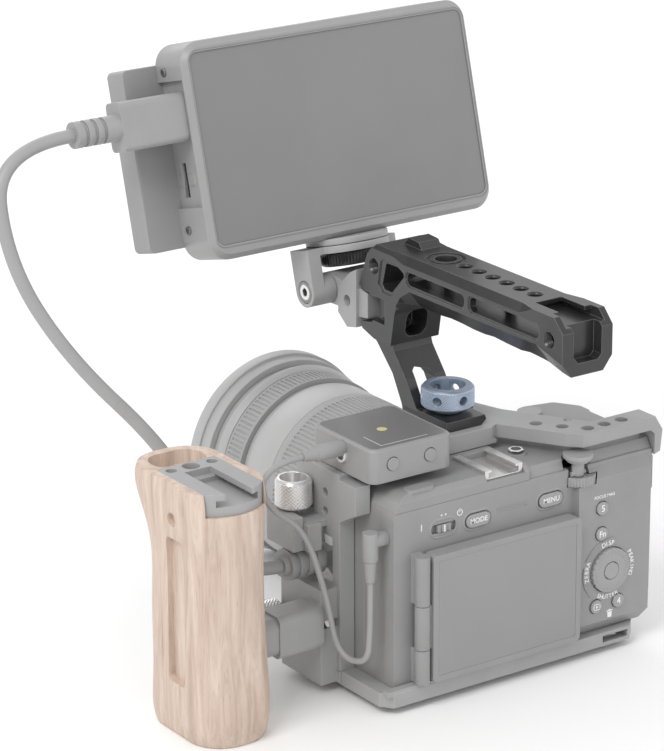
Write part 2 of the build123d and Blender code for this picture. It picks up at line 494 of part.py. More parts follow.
def top_handle():
    h, top = HANDLE_HALF, HANDLE_TOP
    bar = [(HANDLE_REAR, top - 5.6), (HANDLE_REAR + 5.4, top), (55.5, top), (60.8, 157.5), (66.4, 143.3), (64.4, 141.0),
           (48.0, 141.0), (46.5, 143.0)] + UNDERSIDE + [(HANDLE_REAR, 139.0)]
    body = prism("yz", bar, -h, h)
    body += prism("yz", [(58.6, 141.2), (57.0, 128.9), (65.3, 127.2), (64.4, 124.5), (56.0, 122.0), (44.5, 122.0),
                         (43.4, 128.0), (42.0, 136.0), (39.6, 141.5), (46.5, 145.0)], -h, h)
    # bevels: broad along the bar, fading into the square front and rear blocks
    edge = top - TOP_BEVEL[1]
    body -= bevel_run([(-49.0, 0.05, TOP_BEVEL[1] * 0.95), (-40.4, 1, 0)], *TOP_BEVEL, edge, True)
    body -= bevel_run([(-40.4, 1, 0), (36.0, 1, 0)], *TOP_BEVEL, edge, True)
    body -= bevel_run([(36.0, 1, 0), (43.2, 0.55, TOP_BEVEL[1] * 0.45), (62.0, 0.5, TOP_BEVEL[1] * 0.5)], *TOP_BEVEL,
                      edge, True)
    body -= bevel_run([(HANDLE_REAR - 0.5, 0.9, -4.0), (-51.3, 1, 0.4)], *LOW_BEVEL, SIDE_FOOT, False)
    body -= bevel_run([(-51.3, 1, 0.4), (-41.0, 1, 0.2), (31.6, 1, 0), (37.7, 1, -3.7), (41.0, 1, -8.5)], *LOW_BEVEL,
                      SIDE_FOOT, False)
    leg = [(68.0 - 4, 125.0), (57.2, 119.9), (46.4, 109.3), (40.0, 98.0), (39.0, FOOT_TOP - 4.3),
           (28.4, ARM_TOP), (29.5, 98.0), (37.1, 109.0), (45.5, 119.0), (47.5, 125.0)]
    body += prism("yz", leg, -LEG_HALF, LEG_HALF)
    body += prism("xz", [(-7.0, ARM_TOP), (7.6, ARM_TOP), (10.2, ARM_TOP + 2.2), (9.4, FOOT_TOP), (-9.6, FOOT_TOP),
                         (-10.4, ARM_TOP + 2.2)], 9.0, 38.6)
    # front window and the two long slots, each in a shallow rim
    window = [(48.1, 156.5), (40.0, 156.6), (36.2, 154.9), (35.9, 153.4), (44.0, 144.9), (49.3, 144.9), (50.9, 146.6)]
    rim = [(49.2, 158.1), (39.6, 158.0), (35.0, 156.0), (34.3, 152.9), (43.4, 143.3), (50.6, 143.3), (53.4, 146.0),
           (51.6, 156.6)]
    body -= fillet(prism("yz", window, -h - 1, h + 1).edges().filter_by(Axis.X), 1.0)
    for x in (-h, h - 0.5):
        body -= prism("yz", rim, x - 0.05, x + 0.55)
    for a, b, lo, hi in ((-4.6, 33.6, 150.9, 156.3), (-52.2, -8.2, 150.9, 156.9)):
        body -= soft((-h - 1, h + 1), (a, b), (lo, hi), 2.3, Axis.X)
        for x in (-h, h - 0.5):
            body -= soft((x - 0.05, x + 0.55), (a - 0.8, b + 0.8), (lo - 0.7, hi + 0.7), 2.8, Axis.X)
    body -= block((-h + 3.6, h - 3.6), (-52, 50), (149.0, 157.0))
    # pockets in the front block, the arch behind it and the two windows through the leg
    for x0, x1 in ((-h - 1, -8.4), (8.4, h + 1)):
        body -= block((x0, x1), (48.6, 70.0), (129.8, 140.4))
    body -= soft((-5.6, 5.2), (36.0, 53.5), (124.5, 136.4), 4.0, Axis.Y)
    body -= soft((-4.8, 4.8), (40.0, 70.0), (126.0, 134.5), 2.5, Axis.Y)
    body -= prism("xz", [(-5.6, 99.6), (5.6, 99.6), (5.2, 107.4), (3.0, 110.9), (-3.4, 112.6), (-5.0, 111.4)], 22, 60)
    # top: large ring, six threaded holes and the cold shoe
    body -= ring("z", (0, 23.3, top - 0.8), 2, 8.2, 6.3) + rod("z", (0, 23.3, 158), 8, 4.6)
    for k in range(6):
        body -= rod("z", (0, 10.6 - 9.05 * k, 157.5), 8, 2.6) + rod("z", (0, 10.6 - 9.05 * k, top - 0.8), 2, 2.6, 4.4)
    body -= block((-9.4, 9.4), (HANDLE_REAR - 1, -41.0), (top - 4.0, top - 1.7))
    body -= block((-6.4, 6.4), (HANDLE_REAR - 1, -43.0), (top - 2.0, top + 1))
    body -= block((-9.4, 9.4), (HANDLE_REAR - 1, -57.5), (top - 4.0, top + 1))
    body -= prism("xz", [(-6.8, 163), (-6.8, 146.8), (-4.4, 144.1), (5.2, 144.1), (6.9, 145.9), (6.9, 163)],
                  HANDLE_REAR - 1, -62.5)
    for y, z in ((-59.0, 152.6), (56.3, 153.1)):
        body -= rod("x", (-h - 1, y, z), 2 * h + 2, 2.6)
        body -= rod("x", (-h - 0.2, y, z), 1.2, 3.6, 2.6) + rod("x", (h - 1.0, y, z), 1.2, 2.6, 3.6)
    body -= rod("z", (0, WHEEL_Y, ARM_TOP - 1), 9, STUD_R + RUN)
    lo, hi = WHEEL_Z
    body -= rod("z", (0, WHEEL_Y, lo - RUN), hi - lo + 2 * RUN, WHEEL_R + 2 * RUN)
    stop = [(37.0, top - 1), (39.8, top + 2.8), (46.6, top + 3.2), (51.0, top - 1)]
    return body + prism("yz", stop, -1.5, 8.4)


def handle_lock_wheel():
    lo, hi = WHEEL_Z
    wheel = ring("z", (0, WHEEL_Y, lo), hi - lo, WHEEL_R, WHEEL_BORE)
    wheel = chamfer(wheel.edges().filter_by(GeomType.CIRCLE).filter_by(lambda e: e.radius > 10), 0.7)
    wheel += rod("z", (0, WHEEL_Y, lo), 3.2, WHEEL_BORE)
    wheel += rod("z", (0, WHEEL_Y, FOOT_TOP + RUN), lo - FOOT_TOP - RUN, 6.0)
    for k in range(6):
        wheel -= (Pos(0, WHEEL_Y, hi - 4.2) * Rot(0, 0, 30 + 60 * k) * Pos(8.8, 0, 0) * Rot(0, 90, 0)
                  * Cylinder(2.0, 6))
    return wheel + rod("z", (0, WHEEL_Y, ARM_TOP - ARM_T + 0.4), lo - ARM_TOP + ARM_T, STUD_R - 0.35)


# ---------------------------------------------------------------- monitor mount
def mount_clamp():
    body = prism("yz", [(67.4, 124.0), (74.0, 122.6), (80.5, 127.5), (80.0, 139.0), (72.0, 146.5), (67.4, 149.0)],
                 -13.2, 13.2)
    body += prism("yz", [(61.4, 129.2), (68.0, 128.2), (68.0, 140.4), (64.0, 140.4), (61.4, 139.8)], -11.6, 11.6)
    hub = rod("x", (-12.6, TILT_Y, TILT_Z), 25.2, HUB_R)
    web = prism("yz", [(78, 129.8), (TILT_Y, TILT_Z - HUB_R), (TILT_Y, TILT_Z + HUB_R), (78, 141)], -12.6, 12.6)
    body += hub + web
    body -= rod("x", (-20, TILT_Y, TILT_Z), 40, BOLT_R)
    body -= rod("x", (-20, 74.0, 134.0), 40, 2.4)
    return body


def mount_jaw():
    jaw = prism("yz", [(66.6, 126.0), (73.0, 124.4), (76.4, 130.0), (76.0, 143.0), (71.0, 145.0), (66.6, 147.0)],
                13.3, 16.6)
    jaw += rod("x", (16.6, 71.0, 134.0), 3.0, 5.0)
    return jaw + rod("x", (6.0, 74.0, 134.0), 7.4, 2.3)


def mount_tilt_bolt():
    bolt = rod("x", (-24.6, TILT_Y, TILT_Z), 3.0, 4.6) + rod("x", (-21.6, TILT_Y, TILT_Z), 41.8, BOLT_R - 0.1)
    bolt += rod("x", (20.2, TILT_Y, TILT_Z), 3.4, 5.6)
    return bolt - rod("x", (-25, TILT_Y, TILT_Z), 2.4, 1.6)


def mount_tilt_arm():
    left = rod("x", (-24.6, 0, 0), 11.7, HUB_R) + block((-24.6, -18.6), (-HUB_R, HUB_R), (0, 17.4))
    right = rod("x", (12.9, 0, 0), 7.0, HUB_R) + block((13.9, 19.9), (-HUB_R, HUB_R), (0, 17.4))
    arm = left + right
    arm -= block((-18.6, 13.9), (-30, 30), (7.6, 14.4))
    arm += soft((-24.6, 19.9), (-HUB_R, HUB_R), (14.4, 17.4), 2.0) + rod("z", (0, 0, 14.4), 3.0, DISC_R)
    arm -= rod("x", (-26, 0, 0), 50, BOLT_R + 0.02) + rod("x", (-25, 0, 0), 3.5, 4.9)
    arm -= rod("z", (0, 0, 10), 9, 3.4)
    return lean(arm)


def mount_swivel_plate():
    plate = rod("z", (0, 0, 17.7), 2.6, DISC_R) - rod("z", (0, 0, 17), 5, 2.9)
    return lean(plate)


def mount_lock_wheel():
    wheel = rod("z", (0, 0, 8.2), 5.8, 12.2)
    wheel = chamfer(wheel.edges().filter_by(GeomType.CIRCLE), 0.6)
    return lean(wheel + rod("z", (0, 0, 14.0), 12.4, 2.5))


# ---------------------------------------------------------------- monitor
def monitor_housing():
    w = MON_W / 2
    shell = soft((-w, w), MON_Y, MON_Z, 9.0, Axis.Y)
    shell = chamfer(shell.faces().sort_by(Axis.Y)[0].edges(), 2.2)
    shell -= soft((-GLASS_W / 2, GLASS_W / 2), (MON_Y[0] - 1, MON_Y[0] + GLASS_T), GLASS_Z, GLASS_R, Axis.Y)
    shell -= block((-w + 4, w - 4), (MON_Y[0] + GLASS_T + 1.4, MON_Y[1] - 2.4), (MON_Z[0] + 10, MON_Z[1] - 4))
    shell -= block((-w - 1, -w + 2.0), (-6.2, MON_Y[1] + 1), (43.0, 95.0))
    shell -= block((-w, -w + 7), (-4.6, 4.6), (PORT_Z - 7.2, PORT_Z + 7.2))
    shell -= rod("z", (0, 0, MON_Z[0] - 1), 9, 2.9)
    for z in (34.0, 99.0):
        shell -= rod("x", (-w - 1, 6.5, z), 2.4, 1.2)
    shell -= block((-w, -w + 6), (4.4, 8.6), (47.2, 61.4))
    return lean(shell)


def monitor_glass():
    w = GLASS_W / 2 - 0.1
    z0, z1 = GLASS_Z
    return lean(soft((-w, w), (MON_Y[0] + 0.6, MON_Y[0] + GLASS_T), (z0 + 0.1, z1 - 0.1), GLASS_R - 0.1, Axis.Y))


def monitor_drive():
    tray = soft(DRIVE_X, DRIVE_Y, DRIVE_Z, 2.5, Axis.Y)
    tray = chamfer(tray.faces().sort_by(Axis.Y)[-1].edges(), 2.0)
    tray -= block((DRIVE_X[0] + 3, DRIVE_X[1] - 3), (DRIVE_Y[0] + 2, DRIVE_Y[1] - 2), (DRIVE_Z[0] + 3, DRIVE_Z[1] - 3))
    for k in range(9):
        x = -40 + 10 * k
        tray -= block((x, x + 4), (DRIVE_Y[1] - 1, DRIVE_Y[1] + 1), (45, 85))
    return lean(tray)


# ---------------------------------------------------------------- plugs and cords
def video_plug_monitor():
    w = MON_W / 2
    body = soft((-w - 30.0, -w + 1.8), (-5.6, 5.6), (PORT_Z - 10, PORT_Z + 10), 2.4, Axis.X)
    body += block((-w + 1.8, -w + 6.6), (-4.2, 4.2), (PORT_Z - 6.8, PORT_Z + 6.8))
    relief = rod("x", (-121.0, 0, PORT_Z), 121.0 - w - 30.0, 5.4)
    for k in range(3):
        relief -= ring("x", (-117.6 + 4.2 * k, 0, PORT_Z), 1.6, 6.0, 4.4)
    return lean(body + relief)


def video_plug_camera():
    y, z = VIDEO_LOWER[-1][1], VIDEO_LOWER[-1][2]
    body = rod("x", (-82.4, y, z), 82.4 + PLUG_END_X, 6.6)
    for k in range(3):
        body -= ring("x", (-80.0 + 4.2 * k, y, z), 1.4, 7.5, 5.8)
    body += rod("x", (VIDEO_LOWER[-1][0], y, z), 2.4, 4.4)
    return body + block((PLUG_END_X, -60.6), (y - 5.0, y + 5.0), (z - 3.6, z + 3.6))


def audio_plug_receiver():
    x, y, z = AUDIO_ROUTE[0]
    body = rod("x", (-76.0, y, z), 76.0 + RX_X[0], 3.3) + rod("x", (x, y, z), 6.4, 1.9, 2.9)
    return body + rod("x", (RX_X[0], y, z), 8.0, 1.75)


def audio_plug_camera():
    x, y, z = AUDIO_ROUTE[-1]
    body = rod("z", (x, y, z), 9.0, 1.9, 2.6) + rod("z", (x, y, z + 9.0), 11.6, 3.1)
    body += rod("x", (x, y, 69.0), -x + BODY_X[0] - 0.05, 3.0)
    return body + rod("x", (BODY_X[0] - 0.1, y, 69.0), 6.0, 1.75)


# ---------------------------------------------------------------- wireless receiver
RX_BUTTONS = {"receiver_button_left": (-53.0, 97.6), "receiver_button_right": (-35.0, 97.6)}


def receiver_case():
    case = soft(RX_X, RX_Y, RX_Z, 4.0, Axis.Z)
    case = chamfer(case.faces().sort_by(Axis.Z)[-1].edges(), 0.8)
    case -= block((RX_X[0] + 2, RX_X[1] - 2), (RX_Y[0] + 2.4, RX_Y[1] - 2), (RX_Z[0] + 1.8, RX_Z[1] - 2))
    case -= rod("x", (RX_X[0] - 1, AUDIO_ROUTE[0][1], AUDIO_ROUTE[0][2]), 4, 1.75)
    for x, z in RX_BUTTONS.values():
        case -= rod("y", (x, RX_Y[0] - 1, z), 2.2, 2.6 + RUN) + rod("y", (x, RX_Y[0] - 1, z), 4, 1.3)
    return case


def receiver_button(x, z):
    return rod("y", (x, RX_Y[0] - 0.6, z), 1.0, 2.6) + rod("y", (x, RX_Y[0] + 0.4, z), 3.4, 1.0)


def receiver_clip():
    return block((-51, -33), (-8, 24), (88.3, 89.4)) + block((-48, -36), (-8, -4), (88.3, 90.4)) + block(
        (-47, -37), (-6, 22), (89.4, 90.4))


# ---------------------------------------------------------------- side grip
GRIP_SECTIONS = [               # height, centre Y, width X, depth Y
    (GRIP_FOOT, 9.5, 32.0, 49.0), (GRIP_FOOT + 7, 9.0, 34.0, 52.0), (30.0, 9.0, 33.6, 50.5), (55.0, 9.5, 33.0, 49.5),
    (78.0, 10.5, 33.6, 51.5), (92.0, 13.5, 35.0, 58.0), (GRIP_TOP, 14.0, 34.5, 57.0)]


def grip_blank(inset=0.0):
    faces = []
    for z, cy, w, d in GRIP_SECTIONS:
        faces.append(Pos(GRIP_X, cy, z) * RectangleRounded(w - 2 * inset, d - 2 * inset, 14.5 - inset))
    return loft(faces)


def side_grip_wood():
    w, d, t = GRIP_PLATE
    blank = grip_blank()
    blank -= side_grip_cavity()
    blank -= soft((GRIP_X - 11.5, GRIP_X + 11.5), (22.0, 38.5), (GRIP_TOP - 6, GRIP_TOP + 1), 7.5)
    blank -= soft((GRIP_X - 30, GRIP_X - 14.0), (0.5, 12.4), (19.4, 79.6), 2.0, Axis.X)
    blank -= rod("x", (GRIP_X - 30, 7.4, 87.6), 15, 2.9)
    return blank


def side_grip_cavity(gap=0.0):
    w, d, t = GRIP_PLATE
    plate = block((GRIP_X - w / 2 - gap, GRIP_X + w / 2 + gap), (-30, 24.2 + gap), (GRIP_TOP - t - gap, GRIP_TOP + 5))
    stem = block((GRIP_X - 8 - gap, GRIP_X + 8 + gap), (-2 - gap, 18 + gap), (12, GRIP_TOP))
    neck = rod("x", (GRIP_X, *NECK), 40, NECK_R + gap)
    return plate + stem + neck


def side_grip_core():
    w, d, t = GRIP_PLATE
    curve = Pos(GRIP_X, 4.6, 0) * Pos(0, 0, GRIP_TOP - t / 2) * Cylinder(19.4, t)
    plate = block((GRIP_X - w / 2, GRIP_X + w / 2), (-20, 24.0), (GRIP_TOP - t, GRIP_TOP)) & (
        curve + block((GRIP_X - 20, GRIP_X + 20), (0, 30), (GRIP_TOP - t, GRIP_TOP)))
    core = plate + block((GRIP_X - 8, GRIP_X + 8), (-2, 18), (12, GRIP_TOP - t))
    core += rod("x", (GRIP_X, *NECK), 34.5, NECK_R)
    core -= block((GRIP_X - 9.5, GRIP_X + 9.5), (-30, 12.5), (GRIP_TOP - 5.2, GRIP_TOP - 2.4))
    core -= block((GRIP_X - 6.0, GRIP_X + 6.0), (-30, 15.5), (GRIP_TOP - 3.0, GRIP_TOP + 1))
    for x, r in ((-9.0, 2.3), (0.0, 3.6), (9.5, 2.3)):
        core -= rod("z", (GRIP_X + x, 20.0, GRIP_TOP - t - 1), 12, r)
    return core


def side_bracket():
    bracket = block((-74.0, -66.0), (6, 34), (1.0, 42.0)) + block((-66.2, BASE_X[0]), (4, 36), (0.6, 5.6))
    bracket += soft((-95.0, -74.0), (3.6, 18.4), (18.0, 36.0), 3.0, Axis.X)
    bracket += soft((-103.5, -95.0), (4.2, 17.8), (19.0, 35.0), 4.5, Axis.X)
    bracket -= rod("x", (-110, *NECK), 60, NECK_R + 0.05)
    bracket -= rod("x", (-110, 27.0, 10.0), 60, 2.4)
    return bracket


def side_knob():
    knob = rod("x", (-88.0, 34.6, 22.0), 13.0, 7.2)
    knob = chamfer(knob.edges().filter_by(GeomType.CIRCLE), 0.8)
    return knob + rod("x", (-75.0, 34.6, 22.0), 1.0, 4.0)


# ---------------------------------------------------------------- cable clamp
CLAMP_C = (-73.6, 25.0)


def cable_clamp_body():
    body = block((-77.0, SIDE_X[0]), (15, 33), (61.4, 69.0)) + block((-77.0, -70.5), (10, 12.8), (57.8, 69.0))
    body += block((-77.0, -70.5), (12.7, 15.2), (66, 69))
    body += block((-70.5, SIDE_X[0]), (12.7, 33), (66.0, 69.0))
    body -= rod("z", (CLAMP_C[0], CLAMP_C[1], 60), 12, 2.0)
    return body


def cable_clamp_jaw():
    return block((-82.0, -77.2), (13, 32), (57.9, 72.0)) + block((-82.0, -68.0), (13, 32), (57.9, 61.2))


def cable_clamp_knob():
    knob = rod("z", (CLAMP_C[0], CLAMP_C[1], 72.4), 12.2, 7.2)
    knob = chamfer(knob.edges().filter_by(GeomType.CIRCLE), 0.7)
    knob -= rod("z", (CLAMP_C[0], CLAMP_C[1], 77.0), 12, 5.6)
    return knob + rod("z", (CLAMP_C[0], CLAMP_C[1], 61.6), 10.8, 1.9)


# ---------------------------------------------------------------- export
PARTS = {
    "camera_rear_shell": camera_rear_shell, "camera_front_shell": camera_front_shell,
    "camera_top_cover": camera_top_cover, "hot_shoe": hot_shoe, "camera_lens_mount": camera_lens_mount,
    "image_sensor": image_sensor, "main_board": main_board, "camera_battery": camera_battery,
    "control_wheel": control_wheel, "wheel_button": wheel_button, "mode_switch": mode_switch,
    "rear_dial": rear_dial, "joystick": joystick, "shutter_button": shutter_button,
    "rear_screen_housing": rear_screen_housing, "rear_screen_glass": rear_screen_glass,
    "lens_barrel": lens_barrel, "lens_hood": lens_hood, "lens_elements": lens_elements,
    "cage_base_plate": cage_base_plate, "cage_left_plate": cage_left_plate, "cage_top_plate": cage_top_plate,
    "cage_screws": cage_screws, "top_handle": top_handle, "handle_lock_wheel": handle_lock_wheel,
    "mount_clamp": mount_clamp, "mount_jaw": mount_jaw, "mount_tilt_bolt": mount_tilt_bolt,
    "mount_tilt_arm": mount_tilt_arm, "mount_swivel_plate": mount_swivel_plate,
    "mount_lock_wheel": mount_lock_wheel, "monitor_housing": monitor_housing, "monitor_glass": monitor_glass,
    "monitor_drive": monitor_drive, "video_plug_monitor": video_plug_monitor,
    "video_plug_camera": video_plug_camera, "audio_plug_receiver": audio_plug_receiver,
    "audio_plug_camera": audio_plug_camera, "receiver_case": receiver_case, "receiver_clip": receiver_clip,
    "side_grip_wood": side_grip_wood, "side_grip_core": side_grip_core, "side_bracket": side_bracket,
    "side_knob": side_knob, "cable_clamp_body": cable_clamp_body, "cable_clamp_jaw": cable_clamp_jaw,
    "cable_clamp_knob": cable_clamp_knob,
}


def main():
    shapes = {name: make() for name, make in PARTS.items()}
    for name, cap in CAP_BUTTONS.items():
        shapes[name] = cap_button(*cap)
    for name, (x, z) in RX_BUTTONS.items():
        shapes[name] = receiver_button(x, z)
    shapes["focus_ring"] = grip_ring(58.3, 96.4, 39.2, 120, 0.5)
    shapes["zoom_ring"] = grip_ring(117.2, 128.9, 40.4, 120, 0.5)
    shapes["video_cable_upper"] = cord(VIDEO_UPPER, VIDEO_D)
    shapes["video_cable_lower"] = cord(VIDEO_LOWER, VIDEO_D)
    shapes["audio_cable"] = cord(AUDIO_ROUTE, AUDIO_D)
    for name, shape in shapes.items():
        solids = shape.solids()
        if len(solids) != 1:
            print("note", name, "solids", len(solids))
        shape.label = name
        export_step(shape, f"parts/{name}.step")
    print(len(shapes), "parts")


if __name__ == "__main__":
    main()
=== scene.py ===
"""Cinema camera rig in Blender: finishes, cords, detailed pieces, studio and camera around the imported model.

Lengths in the classes are millimetres in the model's frame (X right, Y along the lens, Z up) and are
turned to metres by MM.
"""
from __future__ import annotations

import logging
import math
from collections.abc import Sequence
from dataclasses import dataclass
from enum import Enum

import bmesh
import bpy
from bmesh.types import BMEdge, BMesh, BMFace, BMVert
from mathutils import Matrix, Vector


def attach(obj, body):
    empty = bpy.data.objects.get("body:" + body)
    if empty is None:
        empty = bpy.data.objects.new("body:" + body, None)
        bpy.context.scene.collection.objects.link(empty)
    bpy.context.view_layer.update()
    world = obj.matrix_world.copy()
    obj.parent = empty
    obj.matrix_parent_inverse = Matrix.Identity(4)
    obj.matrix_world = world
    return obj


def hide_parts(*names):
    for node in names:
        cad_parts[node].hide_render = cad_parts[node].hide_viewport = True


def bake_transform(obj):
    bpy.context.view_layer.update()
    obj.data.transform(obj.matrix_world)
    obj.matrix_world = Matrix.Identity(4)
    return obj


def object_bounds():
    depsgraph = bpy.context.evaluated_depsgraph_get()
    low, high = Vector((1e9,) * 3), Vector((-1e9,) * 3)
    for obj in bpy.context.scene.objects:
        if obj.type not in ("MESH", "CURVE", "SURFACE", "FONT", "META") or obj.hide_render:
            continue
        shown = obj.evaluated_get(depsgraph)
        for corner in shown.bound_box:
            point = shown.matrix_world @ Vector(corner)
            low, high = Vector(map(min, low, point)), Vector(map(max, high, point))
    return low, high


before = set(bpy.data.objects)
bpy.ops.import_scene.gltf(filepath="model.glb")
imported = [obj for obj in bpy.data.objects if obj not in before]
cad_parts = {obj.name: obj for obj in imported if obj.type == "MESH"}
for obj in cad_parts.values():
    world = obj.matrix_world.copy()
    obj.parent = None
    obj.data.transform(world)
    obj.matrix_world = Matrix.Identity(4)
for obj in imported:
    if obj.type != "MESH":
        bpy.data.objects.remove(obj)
CAD_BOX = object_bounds()

LOG = logging.getLogger("camera_rig")
MM = 0.001
JOIN_MM = 0.0005                # points nearer than this become one
EDGE_MM = 0.25                  # round on the edges of the solid model's pieces
PRINT_MM = 0.03                 # thickness of printed marks
SHARP_DEG = 32.0                # edges sharper than this stay crisp
Point = tuple[float, float, float]
Outline = Sequence[tuple[float, float]]
LEAN = Matrix.Translation((0.0, 0.088, 0.136)) @ Matrix.Rotation(math.radians(-15.0), 4, "X")


# ---------------------------------------------------------------- shader helpers
def linear(code: str) -> tuple[float, float, float, float]:
    """Turns an sRGB hex colour into linear RGBA.

    Args:
        code: Six hex digits.

    Returns:
        Linear red, green, blue and an alpha of one.
    """
    parts = [int(code[i:i + 2], 16) / 255 for i in (0, 2, 4)]
    red, green, blue = (p / 12.92 if p <= 0.04045 else ((p + 0.055) / 1.055) ** 2.4 for p in parts)
    return red, green, blue, 1.0


def add_node(tree: bpy.types.NodeTree, kind: str, settings: dict | None = None,
             links: dict | None = None) -> bpy.types.Node:
    """Adds a shader node with its settings and links.

    Args:
        tree: The material's node tree.
        kind: Blender's name for the node type, without "ShaderNode".
        settings: Node properties by name, and input values by name or index.
        links: Output sockets that feed the node's inputs, by name or index.

    Returns:
        The new node.
    """
    node = tree.nodes.new("ShaderNode" + kind)
    for key, value in (settings or {}).items():
        if isinstance(key, str) and hasattr(node, key):
            setattr(node, key, value)
        else:
            node.inputs[key].default_value = value
    for key, socket in (links or {}).items():
        tree.links.new(socket, node.inputs[key])
    return node


@dataclass(frozen=True)
class Surface:
    """A named material on Object coordinates with two tones that drift into each other."""

    name: str
    colour: str
    shade: str

    def material(self) -> bpy.types.Material:
        """Builds the material."""
        mat = bpy.data.materials.new(self.name)
        mat.use_nodes = True
        tree = mat.node_tree
        tree.nodes.clear()
        shader = self.shader(tree, add_node(tree, "TexCoord").outputs["Object"])
        add_node(tree, "OutputMaterial", None, {"Surface": shader.outputs["BSDF"]})
        return mat

    def shader(self, tree: bpy.types.NodeTree, place: bpy.types.NodeSocket) -> bpy.types.Node:
        """Adds the shader of this kind of surface.

        Args:
            tree: The material's node tree.
            place: Object coordinates.

        Returns:
            The shader node.
        """
        raise NotImplementedError

    def tones(self, tree: bpy.types.NodeTree, mix: bpy.types.NodeSocket) -> bpy.types.NodeSocket:
        """Adds the mix of the two tones.

        Args:
            tree: The material's node tree.
            mix: The share of the second tone.

        Returns:
            The colour socket.
        """
        return add_node(tree, "Mix", {"data_type": "RGBA", 6: linear(self.colour), 7: linear(self.shade)},
                        {0: mix}).outputs[2]


class Grain(Enum):
    """Surface pattern that a finish carries."""

    MOULDED = "moulded"
    BLASTED = "blasted"
    TURNED = "turned"
    CAST = "cast"


@dataclass(frozen=True)
class Finish(Surface):
    """A hard opaque finish with fine grain, soft colour variation and lighter edges, partly wear and partly a
    painted highlight.
    """

    edge: str
    roughness: float
    metallic: float = 0.0
    grain: Grain = Grain.MOULDED
    grain_mm: float = 0.5
    grain_depth_mm: float = 0.02
    spread: float = 0.06
    edge_mm: float = 0.35
    coat: float = 0.0
    turn_axis: str = "Z"

    def shader(self, tree: bpy.types.NodeTree, place: bpy.types.NodeSocket) -> bpy.types.Node:
        """Adds the shader; see Surface."""
        cloud = add_node(tree, "TexNoise", {"Scale": 60.0, "Detail": 3.0, "Roughness": 0.6},
                         {"Vector": place})
        pattern = self.pattern(tree, place)
        bevel = add_node(tree, "Bevel", {"samples": 4, "Radius": self.edge_mm * MM})
        facing = add_node(tree, "NewGeometry")
        level = add_node(tree, "VectorMath", {"operation": "DOT_PRODUCT"},
                         {0: bevel.outputs["Normal"], 1: facing.outputs["Normal"]})
        # wear and painted highlight: where the bevel normal leaves the face normal, the colour goes toward the
        # lighter edge colour
        rim = add_node(tree, "MapRange", {"From Min": 0.995, "From Max": 0.86, "To Min": 0.0, "To Max": 0.8},
                       {"Value": level.outputs["Value"]})
        worn_and_highlit_edge = add_node(tree, "Mix", {"data_type": "RGBA", 7: linear(self.edge)},
                        {0: rim.outputs["Result"], 6: self.tones(tree, cloud.outputs["Fac"])})
        gloss = add_node(tree, "MapRange", {"To Min": self.roughness - self.spread,
                                            "To Max": self.roughness + self.spread},
                         {"Value": cloud.outputs["Fac"]})
        bump = add_node(tree, "Bump", {"Strength": 0.6, "Distance": self.grain_depth_mm * MM},
                        {"Height": pattern, "Normal": bevel.outputs["Normal"]})
        return add_node(tree, "BsdfPrincipled", {"Metallic": self.metallic, "Coat Weight": self.coat,
                                                   "Coat Roughness": 0.12},
                          {"Base Color": worn_and_highlit_edge.outputs[2], "Roughness": gloss.outputs["Result"],
                           "Normal": bump.outputs["Normal"]})

    def pattern(self, tree: bpy.types.NodeTree, place: bpy.types.NodeSocket) -> bpy.types.NodeSocket:
        """Adds the height pattern of the finish.

        Args:
            tree: The material's node tree.
            place: Object coordinates.

        Returns:
            The height socket.
        """
        fine = 1.0 / (self.grain_mm * MM)
        if self.grain is Grain.TURNED:
            # tool marks run round the axis, so the noise is stretched across it
            long = {"X": (fine, 60.0, 60.0), "Y": (60.0, fine, 60.0), "Z": (60.0, 60.0, fine)}[self.turn_axis]
            stretch = add_node(tree, "Mapping", {"Scale": long}, {"Vector": place})
            return add_node(tree, "TexNoise", {"Scale": 1.0, "Detail": 2.0},
                            {"Vector": stretch.outputs["Vector"]}).outputs["Fac"]
        if self.grain is Grain.CAST:
            return add_node(tree, "TexVoronoi", {"Scale": fine, "feature": "SMOOTH_F1"},
                            {"Vector": place}).outputs["Distance"]
        detail = 6.0 if self.grain is Grain.BLASTED else 2.0
        return add_node(tree, "TexNoise", {"Scale": fine, "Detail": detail, "Roughness": 0.7},
                        {"Vector": place}).outputs["Fac"]


